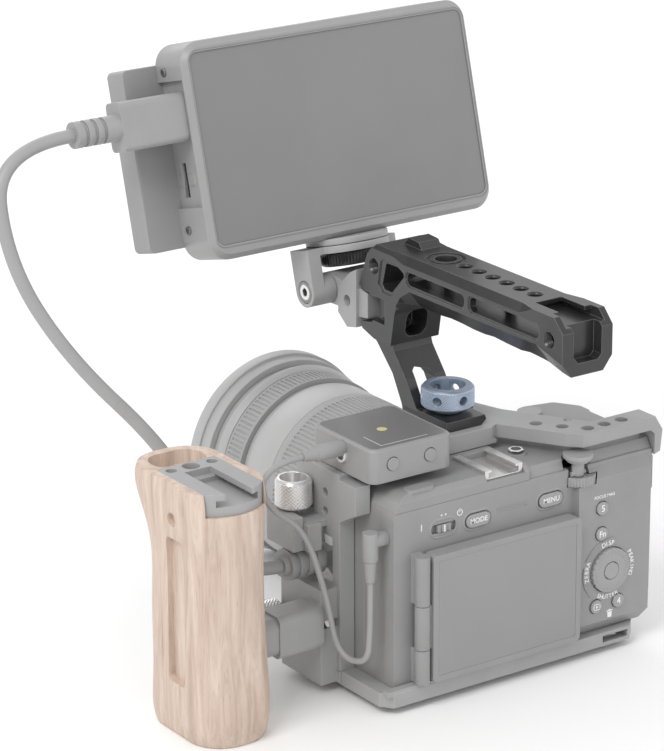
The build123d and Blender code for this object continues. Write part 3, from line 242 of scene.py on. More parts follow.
@dataclass(frozen=True)
class Timber(Surface):
    """Oiled beech: straight grain along Z with fine dark pores and soft growth bands."""

    pore: str
    band_mm: float = 5.0
    pore_mm: float = 0.35

    def shader(self, tree: bpy.types.NodeTree, place: bpy.types.NodeSocket) -> bpy.types.Node:
        """Adds the shader; see Surface."""
        band = 1.0 / (self.band_mm * MM)
        along = add_node(tree, "Mapping", {"Scale": (band, band, band * 0.09)}, {"Vector": place})
        growth = add_node(tree, "TexNoise",
                          {"Scale": 1.0, "Detail": 5.0, "Roughness": 0.62, "Distortion": 0.7},
                          {"Vector": along.outputs["Vector"]})
        fine = 1.0 / (self.pore_mm * MM)
        needle = add_node(tree, "Mapping", {"Scale": (fine, fine, fine * 0.035)}, {"Vector": place})
        pores = add_node(tree, "TexNoise", {"Scale": 1.0, "Detail": 2.0, "Roughness": 0.5},
                         {"Vector": needle.outputs["Vector"]})
        figure = add_node(tree, "ValToRGB", None, {"Fac": growth.outputs["Fac"]})
        ramp = figure.color_ramp
        ramp.elements[0].position, ramp.elements[0].color = 0.32, linear(self.shade)
        ramp.elements[1].position, ramp.elements[1].color = 0.66, linear(self.colour)
        dark = add_node(tree, "MapRange", {"From Min": 0.60, "From Max": 0.72, "To Min": 0.0, "To Max": 0.45},
                        {"Value": pores.outputs["Fac"]})
        colour = add_node(tree, "Mix", {"data_type": "RGBA", 7: linear(self.pore)},
                          {0: dark.outputs["Result"], 6: figure.outputs["Color"]})
        gloss = add_node(tree, "MapRange", {"To Min": 0.5, "To Max": 0.62}, {"Value": growth.outputs["Fac"]})
        bump = add_node(tree, "Bump", {"Strength": 0.35, "Distance": 0.05 * MM, "invert": True},
                        {"Height": pores.outputs["Fac"]})
        return add_node(tree, "BsdfPrincipled", {"Specular IOR Level": 0.35},
                          {"Base Color": colour.outputs[2], "Roughness": gloss.outputs["Result"],
                           "Normal": bump.outputs["Normal"]})


@dataclass(frozen=True)
class DarkGlass(Surface):
    """Cover glass over a display or a coated lens: smooth, with a faint uneven smear."""

    roughness: float = 0.12
    ior: float = 1.5

    def shader(self, tree: bpy.types.NodeTree, place: bpy.types.NodeSocket) -> bpy.types.Node:
        """Adds the shader; see Surface."""
        smear = add_node(tree, "TexNoise", {"Scale": 22.0, "Detail": 2.0, "Distortion": 0.4},
                         {"Vector": place})
        gloss = add_node(tree, "MapRange", {"To Min": self.roughness * 0.8, "To Max": self.roughness * 1.25},
                         {"Value": smear.outputs["Fac"]})
        return add_node(tree, "BsdfPrincipled", {"IOR": self.ior},
                          {"Base Color": self.tones(tree, smear.outputs["Fac"]),
                           "Roughness": gloss.outputs["Result"]})


@dataclass(frozen=True)
class Ink(Surface):
    """Pad-printed ink or a lit lamp: flat colour with a little bleed at a fine scale."""

    glow: float = 0.0

    def shader(self, tree: bpy.types.NodeTree, place: bpy.types.NodeSocket) -> bpy.types.Node:
        """Adds the shader; see Surface."""
        speck = add_node(tree, "TexNoise", {"Scale": 4000.0, "Detail": 1.0}, {"Vector": place})
        return add_node(tree, "BsdfPrincipled", {"Roughness": 0.55, "Emission Color": linear(self.colour),
                                                   "Emission Strength": self.glow},
                          {"Base Color": self.tones(tree, speck.outputs["Fac"])})


class Shop:
    """The rig's finishes, each made once and handed out by name."""

    def __init__(self) -> None:
        """Lists the finishes and builds their materials."""
        finishes = [
            # moulded polycarbonate of the camera: fine even leather-like tooth, low sheen
            Finish("moulded_polycarbonate_grey", "999999", "8f8f8f", "b6b6b6", 0.46, grain_mm=0.45),
            # bead-blasted anodised aluminium in mid grey: dry, tight sparkle, pale edges that are partly wear
            # and partly painted highlight
            Finish("anodised_aluminium_grey", "a8a8a8", "9c9c9c", "c6c6c6", 0.48, 0.0, Grain.BLASTED, 0.3,
                   0.012),
            # powder-coated magnesium of the monitor: satin, a little darker than the cage
            Finish("powder_coated_magnesium", "9c9c9c", "939393", "c0c0c0", 0.4, grain_mm=0.35,
                   grain_depth_mm=0.012),
            # knurled finishes keep their edges crisp, so their round is next to nothing
            # the blue-grey knurl is a lighter copy of the lock wheel's anodising, with the ridges' highlight
            # painted into its colour
            Finish("knurled_blue_grey_painted_highlight", "b3bfd0", "a4b1c4", "dde5ee", 0.3, 0.25, Grain.BLASTED,
                   0.25, 0.004, 0.05, 0.04),
            Finish("knurled_black_aluminium", "2c2c2d", "232324", "77777a", 0.34, 0.0, Grain.BLASTED, 0.25,
                   0.004, 0.05, 0.06),
            Finish("knurled_bright_nickel", "ecebea", "dcdbda", "ffffff", 0.2, 0.6, Grain.BLASTED, 0.2,
                   0.003, 0.04, 0.04),
            # black anodised aluminium of the handle: satin, edges catch a thin light line
            Finish("anodised_aluminium_black", "303031", "262627", "808083", 0.3, 0.0, Grain.BLASTED, 0.25,
                   0.006, 0.06, 0.45, 0.25),
            # blue-grey anodised knurled aluminium of the lock wheel
            Finish("anodised_aluminium_blue_grey", "8e9bac", "808da0", "c3cedb", 0.34, 0.35, Grain.BLASTED,
                   0.25, 0.008),
            # bright nickel-plated brass of the knurled knobs: turned, reflects the studio
            Finish("nickel_plated_brass", "e2e1e0", "cdcccb", "fafaf9", 0.22, 0.7, Grain.TURNED, 0.2, 0.006),
            # black hard-anodised lens barrel, washed grey, turned marks round the axis
            Finish("anodised_lens_barrel", "b6b6b6", "acacac", "d0d0d0", 0.42, 0.0, Grain.TURNED, 0.3, 0.008,
                   turn_axis="Y"),
            # ribbed nitrile rubber: matt, dusty, fine pebble
            Finish("nitrile_rubber_grip", "a8a8a8", "9c9c9c", "c0c0c0", 0.72, grain=Grain.CAST, grain_mm=0.9,
                   grain_depth_mm=0.05),
            # extruded PVC jacket of the cords: soft satin with faint die lines
            Finish("pvc_cord_jacket", "a3a3a3", "999999", "b0b0b0", 0.46, grain_mm=0.8, grain_depth_mm=0.01),
            # over-moulded PVC of the plugs: a touch paler than the jacket and finely eroded
            Finish("overmoulded_pvc_plug", "a0a0a0", "959595", "bababa", 0.5, grain_mm=0.3,
                   grain_depth_mm=0.02),
            # gloss ABS caps of the buttons
            Finish("gloss_abs_cap", "9e9e9e", "959595", "c4c4c4", 0.22, grain_mm=0.6, grain_depth_mm=0.004,
                   coat=0.4),
            # zinc-plated steel screws and springs
            Finish("zinc_plated_steel", "8c8c8c", "7b7b7b", "b8b8b8", 0.32, 0.8, Grain.TURNED, 0.2, 0.006),
            # solder-masked glass-epoxy board
            Finish("solder_masked_board", "2f5d3a", "284f32", "6a8a70", 0.4, grain_mm=0.6),
            # painted shade: dark grey laid where the inside of slots, holes and windows would lie in shade
            Finish("painted_recess_shade", "4a4a4a", "3c3c3c", "5a5a5a", 0.7),
        ]
        self.materials = {f.name: f.material() for f in finishes}
        for special in (
            # oiled beech: pale pinkish figure along the grip, matt with short dark pores
            Timber("oiled_beech", "dac8ba", "baa495", "9a8576"),
            # aluminosilicate cover glass of the monitor, seen with the display off
            DarkGlass("monitor_cover_glass", "838383", "7b7b7b", 0.18),
            DarkGlass("rear_screen_cover_glass", "969696", "8e8e8e", 0.2),
            # coated front element: dark, with the coating's low blue-green reflex painted into its colour
            DarkGlass("coated_lens_glass", "20262c", "1a2023", 0.04, 1.6),
            Ink("white_pad_print", "f2f2f2", "e6e6e6"),
            Ink("grey_pad_print", "cfcfcf", "c4c4c4"),
            Ink("amber_lamp", "d2c794", "c4b981", 0.05),
        ):
            self.materials[special.name] = special.material()

    def __getitem__(self, name: str) -> bpy.types.Material:
        """Returns the material of that name."""
        return self.materials[name]


# ---------------------------------------------------------------- mesh helpers
def edge_round(obj: bpy.types.Object) -> None:
    """Welds a piece's loose triangles and rounds its sharp edges.

    Args:
        obj: The piece.
    """
    weld = obj.modifiers.new("joined", "WELD")
    weld.merge_threshold = 0.002 * MM
    bevel = obj.modifiers.new("edges", "BEVEL")
    bevel.width = EDGE_MM * MM
    bevel.segments = 2
    bevel.limit_method = "ANGLE"
    bevel.angle_limit = math.radians(SHARP_DEG)
    bevel.use_clamp_overlap = True
    bevel.harden_normals = False


def finish_piece(name: str, bm: BMesh, material: bpy.types.Material, body: str,
                 place: Matrix | None = None) -> bpy.types.Object:
    """Turns a bmesh in millimetres into a piece that rides on a body.

    Args:
        name: The piece's name.
        bm: The shape, in millimetres; freed here.
        material: Its finish.
        body: The CAD body it moves with.
        place: Where the shape goes, in metres, or None for the model's own frame.

    Returns:
        The new object, at the origin, with its place in its mesh.
    """
    bmesh.ops.remove_doubles(bm, verts=bm.verts, dist=JOIN_MM)
    bmesh.ops.scale(bm, vec=(MM, MM, MM), verts=bm.verts)
    bmesh.ops.transform(bm, matrix=place or Matrix.Identity(4), verts=bm.verts)
    bmesh.ops.recalc_face_normals(bm, faces=bm.faces)
    mesh = bpy.data.meshes.new(name)
    bm.to_mesh(mesh)
    bm.free()
    mesh.shade_smooth()
    mesh.set_sharp_from_angle(angle=math.radians(SHARP_DEG))
    mesh.materials.append(material)
    obj = bpy.data.objects.new(name, mesh)
    bpy.context.scene.collection.objects.link(obj)
    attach(obj, body)
    return obj


def aim(direction: Point, at: Point) -> Matrix:
    """Matrix that takes the Z axis to a direction and the origin to a point.

    Args:
        direction: The new Z axis.
        at: The new origin, in millimetres.

    Returns:
        A matrix in millimetres.
    """
    turn = Vector(direction).to_track_quat("Z", "Y").to_matrix().to_4x4()
    return Matrix.Translation(at) @ turn


def turned(bm: BMesh, profile: Outline, place: Matrix,
           steps: int = 48) -> None:
    """Spins a profile of radius and height pairs about Z into the bmesh.

    Args:
        bm: The mesh to add to.
        profile: Radius and height, in order along the outline.
        place: Where the axis stands.
        steps: Faces round the turn.
    """
    points = [bm.verts.new((r, 0.0, z)) for r, z in profile]
    edges = [bm.edges.new(pair) for pair in zip(points, points[1:])]
    before = set(bm.verts) - set(points)
    bmesh.ops.spin(bm, geom=points + edges, axis=(0, 0, 1), cent=(0, 0, 0), angle=math.tau, steps=steps,
                   use_merge=True)
    fresh = [v for v in bm.verts if v not in before]
    bmesh.ops.transform(bm, matrix=place, verts=fresh)


def points_of(geom: Sequence[object]) -> list[BMVert]:
    """The points among the parts that an operator returns."""
    return [g for g in geom if isinstance(g, BMVert)]


def merge_into(bm: BMesh, part: BMesh) -> None:
    """Adds one mesh to another and frees it.

    Args:
        bm: The mesh to add to.
        part: The mesh to take in.
    """
    spare = bpy.data.meshes.new("spare")
    part.to_mesh(spare)
    part.free()
    bm.from_mesh(spare)
    bpy.data.meshes.remove(spare)


def plate(bm: BMesh, outline: Outline, thickness: float, place: Matrix,
          bevel: float = 0.0, segments: int = 2) -> None:
    """Draws out a flat outline along Z into the bmesh, with rounded edges.

    Args:
        bm: The mesh to add to.
        outline: Corners in the XY plane.
        thickness: Height along Z.
        place: Where the plate goes.
        bevel: Round of every edge, or zero.
        segments: Steps across the round.
    """
    part = bmesh.new()
    face = part.faces.new([part.verts.new((x, y, 0.0)) for x, y in outline])
    grown = bmesh.ops.extrude_face_region(part, geom=[face])["geom"]
    bmesh.ops.translate(part, vec=(0, 0, thickness), verts=points_of(grown))
    if bevel:
        bmesh.ops.bevel(part, geom=list(part.edges), offset=bevel, affect="EDGES", segments=segments,
                        profile=0.5, material=-1, clamp_overlap=True)
    bmesh.ops.transform(part, matrix=place, verts=part.verts)
    merge_into(bm, part)


def rounded(width: float, height: float, radius: float, steps: int = 5) -> Outline:
    """Corners of a rounded rectangle about the origin.

    Args:
        width: Size along X.
        height: Size along Y.
        radius: Corner radius.
        steps: Points round each corner, less one.

    Returns:
        The outline, anticlockwise.
    """
    out = []
    for corner in range(4):
        sx, sy = ((1, 1), (-1, 1), (-1, -1), (1, -1))[corner]
        for k in range(steps + 1):
            a = math.radians(90 * corner + 90 * k / steps)
            out.append((sx * (width / 2 - radius) + radius * math.cos(a),
                        sy * (height / 2 - radius) + radius * math.sin(a)))
    return out


# ---------------------------------------------------------------- carried-over nodes
@dataclass
class Dressing:
    """Finishes and edge rounds of the CAD nodes that stay in view."""

    shop: Shop

    PLAN = {
        "moulded_polycarbonate_grey": (
            "camera_rear_shell", "camera_front_shell", "camera_top_cover", "rear_screen_housing",
            "mode_switch", "monitor_drive", "receiver_clip", "camera_battery"),
        "anodised_aluminium_grey": (
            "cage_base_plate", "cage_left_plate", "cage_top_plate", "side_bracket", "side_grip_core",
            "mount_clamp", "mount_jaw", "mount_tilt_arm", "mount_swivel_plate", "cable_clamp_body",
            "cable_clamp_jaw"),
        "powder_coated_magnesium": ("monitor_housing", "receiver_case", "receiver_button_left",
                                    "receiver_button_right"),
        "anodised_aluminium_black": ("top_handle", "mount_lock_wheel"),
        "anodised_aluminium_blue_grey": ("handle_lock_wheel",),
        "nickel_plated_brass": ("side_knob", "cable_clamp_knob", "hot_shoe", "camera_lens_mount"),
        "anodised_lens_barrel": ("lens_barrel", "lens_hood"),
        "nitrile_rubber_grip": ("focus_ring", "zoom_ring", "joystick"),
        "overmoulded_pvc_plug": (
            "video_plug_camera", "video_plug_monitor", "audio_plug_camera", "audio_plug_receiver"),
        "gloss_abs_cap": (
            "button_delete", "button_five", "button_function", "button_menu", "button_mode", "button_play",
            "wheel_button", "control_wheel", "rear_dial", "shutter_button"),
        "zinc_plated_steel": ("cage_screws", "mount_tilt_bolt"),
        "solder_masked_board": ("main_board", "image_sensor"),
        "oiled_beech": ("side_grip_wood",),
        "monitor_cover_glass": ("monitor_glass",),
        "rear_screen_cover_glass": ("rear_screen_glass",),
        "coated_lens_glass": ("lens_elements",),
    }

    def dress(self) -> None:
        """Gives every listed node its finish and rounds its edges."""
        for finish, names in self.PLAN.items():
            for name in names:
                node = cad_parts[name]
                node.data.materials.clear()
                node.data.materials.append(self.shop[finish])
                edge_round(node)
                LOG.info("dressed %s in %s", name, finish)


# ---------------------------------------------------------------- cords
@dataclass
class Cord:
    """A free cord that follows its route as a smooth NURBS line."""

    name: str
    route: Sequence[Point]
    diameter: float
    length: float
    node: str
    stiffness: str

    def line(self, bevel: bool) -> bpy.types.Object:
        """Makes the curve object.

        Args:
            bevel: True for the round jacket, False for the bare centreline.

        Returns:
            The curve, in metres.
        """
        curve = bpy.data.curves.new(self.name, "CURVE")
        curve.dimensions = "3D"
        curve.resolution_u = 24
        if bevel:
            curve.bevel_depth = self.diameter / 2 * MM
            curve.bevel_resolution = 5
            curve.use_fill_caps = True
        spline = curve.splines.new("NURBS")
        spline.points.add(len(self.route) - 1)
        for point, place in zip(spline.points, self.route):
            point.co = (*(c * MM for c in place), 1.0)
        spline.order_u = 3
        spline.use_endpoint_u = True
        obj = bpy.data.objects.new(self.name, curve)
        bpy.context.scene.collection.objects.link(obj)
        return obj

    def centreline(self) -> list[Point]:
        """Points along the smooth line, in metres."""
        bare = self.line(False)
        mesh = bpy.data.meshes.new_from_object(bare)
        points = [tuple(v.co) for v in mesh.vertices]
        bpy.data.meshes.remove(mesh)
        bpy.data.objects.remove(bare)
        return points

    def as_mesh(self, material: bpy.types.Material) -> bpy.types.Object:
        """The jacket as a mesh tube.

        Args:
            material: The jacket's finish.

        Returns:
            The mesh object, with no parent.
        """
        tube = self.line(True)
        mesh = bpy.data.meshes.new_from_object(tube)
        bpy.data.objects.remove(tube)
        mesh.name = self.name
        mesh.materials.clear()
        mesh.materials.append(material)
        mesh.shade_smooth()
        obj = bpy.data.objects.new(self.name, mesh)
        bpy.context.scene.collection.objects.link(obj)
        return obj


@dataclass
class Cords:
    """The video cord, in the two spans that meet above the grip, and the audio cord."""

    shop: Shop
    meeting: Point = (-124.0, 75.6, 111.6)

    def build(self) -> None:
        jacket = self.shop["pvc_cord_jacket"]
        upper = Cord("video_cord_upper", [(-121, 108.76, 213.76), (-157, 108.76, 213.76), (-158, 99, 170),
                                          (-140, 85, 131), self.meeting],
                     5.6, 143.9, "video_cable_upper", "stiff")
        lower = Cord("video_cord_lower", [self.meeting, (-108, 66.2, 92.2), (-104, 48, 68), (-102.6, 19, 51),
                                          (-84.6, 19, 51)], 5.6, 101.9, "video_cable_lower", "stiff")
        audio = Cord("audio_cord", [(-82, 6, 100.6), (-93.5, 6, 100.6), (-102, 6.3, 94), (-97, 6.5, 81.5),
                                    (-81, 6, 70), (-75, 0, 42), (-71, -1.5, 16.5), (-67.5, -16.5, 16.5),
                                    (-66, -17, 30), (-66, -17, 52)], 2.5, 153.6, "audio_cable", "limp")
        first = upper.as_mesh(jacket)
        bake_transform(first)
        second = lower.as_mesh(jacket)
        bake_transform(second)
        third = audio.line(True)
        third.data.materials.append(jacket)
        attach(third, "frame")
        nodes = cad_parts
        for cord, piece, far, plugs in ((upper, first, "object", [nodes["video_plug_monitor"]]),
                                        (lower, second, "object", [nodes["video_plug_camera"]]),
                                        (audio, third, "object", [nodes["audio_plug_camera"],
                                                                  nodes["audio_plug_receiver"]])):
            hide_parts(cord.node)
            path = None if piece.type == "CURVE" else cord.centreline()
            LOG.info("cord %s", cord.name)

    @staticmethod
    def metres(point: Point) -> Point:
        """A point in millimetres as metres."""
        return tuple(c * MM for c in point)


# ---------------------------------------------------------------- detailed pieces
REAR = Matrix.Rotation(math.radians(90.0), 4, "X")


def rear_at(x: float, y: float, z: float) -> Matrix:
    """Matrix that draws a flat shape in X and Z, facing the rear, at a point in millimetres."""
    return Matrix.Translation((x, y, z)) @ REAR


def disc(radius: float, sides: int, start_deg: float = 0.0) -> Outline:
    """Corners of a regular polygon about the origin.

    Args:
        radius: Distance of the corners.
        sides: Number of corners.
        start_deg: Angle of the first corner.

    Returns:
        The outline, anticlockwise.
    """
    angles = (math.radians(start_deg) + math.tau * k / sides for k in range(sides))
    return [(radius * math.cos(a), radius * math.sin(a)) for a in angles]


def swept_lip(bm: BMesh, profile: Outline, start_deg: float,
              turn_deg: float, place: Matrix, steps: int = 24) -> None:
    """Sweeps a closed profile of radius and height pairs through part of a turn, with closed ends.

    Args:
        bm: The mesh to add to.
        profile: Radius and height pairs round the section.
        start_deg: Where the lip starts.
        turn_deg: How far it runs.
        place: Where the axis stands.
        steps: Faces along the lip.
    """
    part = bmesh.new()
    turn = Matrix.Rotation(math.radians(start_deg), 3, "Z")
    face = part.faces.new([part.verts.new(turn @ Vector((r, 0.0, z))) for r, z in profile])
    copy = bmesh.ops.duplicate(part, geom=[face])["geom"]
    bmesh.ops.spin(part, geom=[g for g in copy if isinstance(g, (BMFace, BMEdge))],
                   axis=(0, 0, 1), cent=(0, 0, 0), angle=math.radians(turn_deg), steps=steps)
    bmesh.ops.remove_doubles(part, verts=part.verts, dist=0.0005)
    bmesh.ops.transform(part, matrix=place, verts=part.verts)
    merge_into(bm, part)


def frame_lip(bm: BMesh, outline: Outline, width: float, height: float,
              place: Matrix, bevel: float) -> None:
    """Adds a narrow raised frame that follows an outline, with rounded edges.

    Args:
        bm: The mesh to add to.
        outline: Outer corners in the XY plane.
        width: Width of the frame.
        height: Height along Z.
        place: Where the frame goes.
        bevel: Round of its edges.
    """
    part = bmesh.new()
    face = part.faces.new([part.verts.new((x, y, 0.0)) for x, y in outline])
    bmesh.ops.inset_region(part, faces=[face], thickness=width, use_boundary=True, use_even_offset=True)
    bmesh.ops.delete(part, geom=[face], context="FACES_ONLY")
    grown = bmesh.ops.extrude_face_region(part, geom=list(part.faces))["geom"]
    bmesh.ops.translate(part, vec=(0, 0, height), verts=points_of(grown))
    rims = [e for e in part.edges if e.is_manifold and e.calc_face_angle(0.0) > math.radians(60.0)]
    bmesh.ops.bevel(part, geom=rims, offset=bevel, affect="EDGES", segments=2, profile=0.5, material=-1,
                    clamp_overlap=True)
    bmesh.ops.transform(part, matrix=place, verts=part.verts)
    merge_into(bm, part)


class Weave(Enum):
    """Pattern that a knurling tool leaves."""

    STRAIGHT = "straight"
    SLANTED = "slanted"
    DIAMOND = "diamond"


@dataclass
class Knurl:
    """A knurled sleeve round a wheel or knob, with bevelled ends and clearings round any cross holes."""

    name: str
    body: str
    slot: str
    radius: float
    low: float
    high: float
    ridges: int
    depth: float
    weave: Weave
    place: Matrix
    holes: Sequence[float] = ()
    hole_radius: float = 0.0
    lead: float = 1.0

    def build(self, material: bpy.types.Material, leaning: bool = False) -> bpy.types.Object:
        """Makes the sleeve.

        Args:
            material: Its finish.
            leaning: True where the place is in the leaning frame of the monitor.

        Returns:
            The new piece.
        """
        bm = bmesh.new()
        rows = max(4, round((self.high - self.low) / 0.26)) if self.weave is not Weave.STRAIGHT else 4
        base = self.radius - 0.12
        profile = [(base - 0.05, self.low)]
        profile += [(base, self.low + (self.high - self.low) * k / rows) for k in range(1, rows)]
        profile.append((base - 0.05, self.high))
        turned(bm, profile, Matrix.Identity(4), self.ridges * 4)
        for v in bm.verts:
            reach = math.hypot(v.co.x, v.co.y)
            if reach < base - 0.02:
                continue
            grown = (reach + self.height(math.atan2(v.co.y, v.co.x), v.co.z)) / reach
            v.co.x *= grown
            v.co.y *= grown
        middle = (self.low + self.high) / 2
        for hole in self.holes:
            a = math.radians(hole)
            out = Vector((math.cos(a), math.sin(a), 0.0))
            spans = [(f, f.calc_center_median() - Vector((0, 0, middle))) for f in bm.faces]
            gone = [f for f, span in spans if span.dot(out) > 0
                    and span.cross(out).length < self.hole_radius + 0.12]
            bmesh.ops.delete(bm, geom=gone, context="FACES")
            rim = [(self.hole_radius, -0.5), (self.hole_radius + 0.1, 0.0), (self.hole_radius + 0.42, -0.02),
                   (self.hole_radius + 0.5, -0.4)]
            turned(bm, rim, aim(tuple(out), tuple(out * (self.radius + 0.06) + Vector((0, 0, middle)))), 28)
        bmesh.ops.transform(bm, matrix=self.place, verts=bm.verts)
        return finish_piece(self.name, bm, material, self.body, LEAN if leaning else None)

    def height(self, angle: float, z: float) -> float:
        """Height of the pattern at a point.

        Args:
            angle: Angle round the axis, in radians.
            z: Height along the axis.

        Returns:
            Millimetres above the sleeve's base.
        """
        around = self.ridges * angle
        along = self.ridges * self.lead * z / self.radius
        if self.weave is Weave.STRAIGHT:
            return self.depth * max(0.0, min(1.0, 0.5 + math.sin(around)))
        if self.weave is Weave.SLANTED:
            return self.depth * (0.5 + 0.5 * math.sin(around - along))
        return self.depth * (0.5 + 0.25 * (math.sin(around - along) + math.sin(around + along)))


@dataclass
class Lettering:
    """Pad-printed characters: a hair thick, laid on a face and carried by a body."""

    shop: Shop
    ink: str = "white_pad_print"
    slot: str = "gloss_cap"
    thickness: float = PRINT_MM

    def write(self, bm: BMesh, text: str, height: float, at: Matrix) -> None:
        """Adds characters, centred on a place.

        Args:
            bm: The mesh to add to.
            text: The characters.
            height: Type size in millimetres.
            at: Where the middle of the text goes.
        """
        curve = bpy.data.curves.new("letters", "FONT")
        curve.body = text
        curve.size = height
        curve.align_x, curve.align_y = "CENTER", "CENTER"
        curve.extrude = self.thickness
        curve.resolution_u = 3
        curve.offset = height * 0.016
        obj = bpy.data.objects.new("letters", curve)
        bpy.context.scene.collection.objects.link(obj)
        mesh = bpy.data.meshes.new_from_object(obj)
        bpy.data.objects.remove(obj)
        mesh.transform(at)
        bm.from_mesh(mesh)
        bpy.data.meshes.remove(mesh)

    def mark(self, name: str, text: str, height: float, at: Matrix, body: str = "frame") -> None:
        """Makes one printed mark.

        Args:
            name: The piece's name.
            text: The characters.
            height: Type size in millimetres.
            at: Where the middle of the text goes.
            body: The body that carries it.
        """
        bm = bmesh.new()
        self.write(bm, text, height, at)
        finish_piece(name, bm, self.shop[self.ink], body)

    def round(self, bm: BMesh, text: str, height: float, centre: Point, radius: float,
              middle_deg: float, step_deg: float, feet_out: bool = False) -> None:
        """Adds characters that follow a circle on a rear face.

        Args:
            bm: The mesh to add to.
            text: The characters.
            height: Type size in millimetres.
            centre: Centre of the circle.
            radius: Radius of the letters' middle.
            middle_deg: Angle of the middle of the text, clockwise from the top.
            step_deg: Angle from letter to letter.
            feet_out: True where the letters stand with their feet away from the centre.
        """
        for k, letter in enumerate(text):
            shift = (k - (len(text) - 1) / 2) * step_deg * (-1 if feet_out else 1)
            a = math.radians(middle_deg + shift)
            x, z = centre[0] + radius * math.sin(a), centre[2] + radius * math.cos(a)
            turn = Matrix.Rotation(-a + (math.pi if feet_out else 0.0), 4, "Z")
            self.write(bm, letter, height, rear_at(x, centre[1], z) @ turn)


@dataclass
class Assembly:
    """A group of modelled pieces that share the rig's finishes."""

    shop: Shop

    def piece(self, name: str, bm: BMesh, finish: str, slot: str, body: str = "frame",
              place: Matrix | None = None) -> None:
        """Turns a bmesh into a piece with one of the shop's finishes.

        Args:
            name: The piece's name.
            bm: The shape, in millimetres; freed here.
            finish: The finish's name.
            slot: Not used.
            body: The CAD body it moves with.
            place: A further move, in metres.
        """
        finish_piece(name, bm, self.shop[finish], body, place)


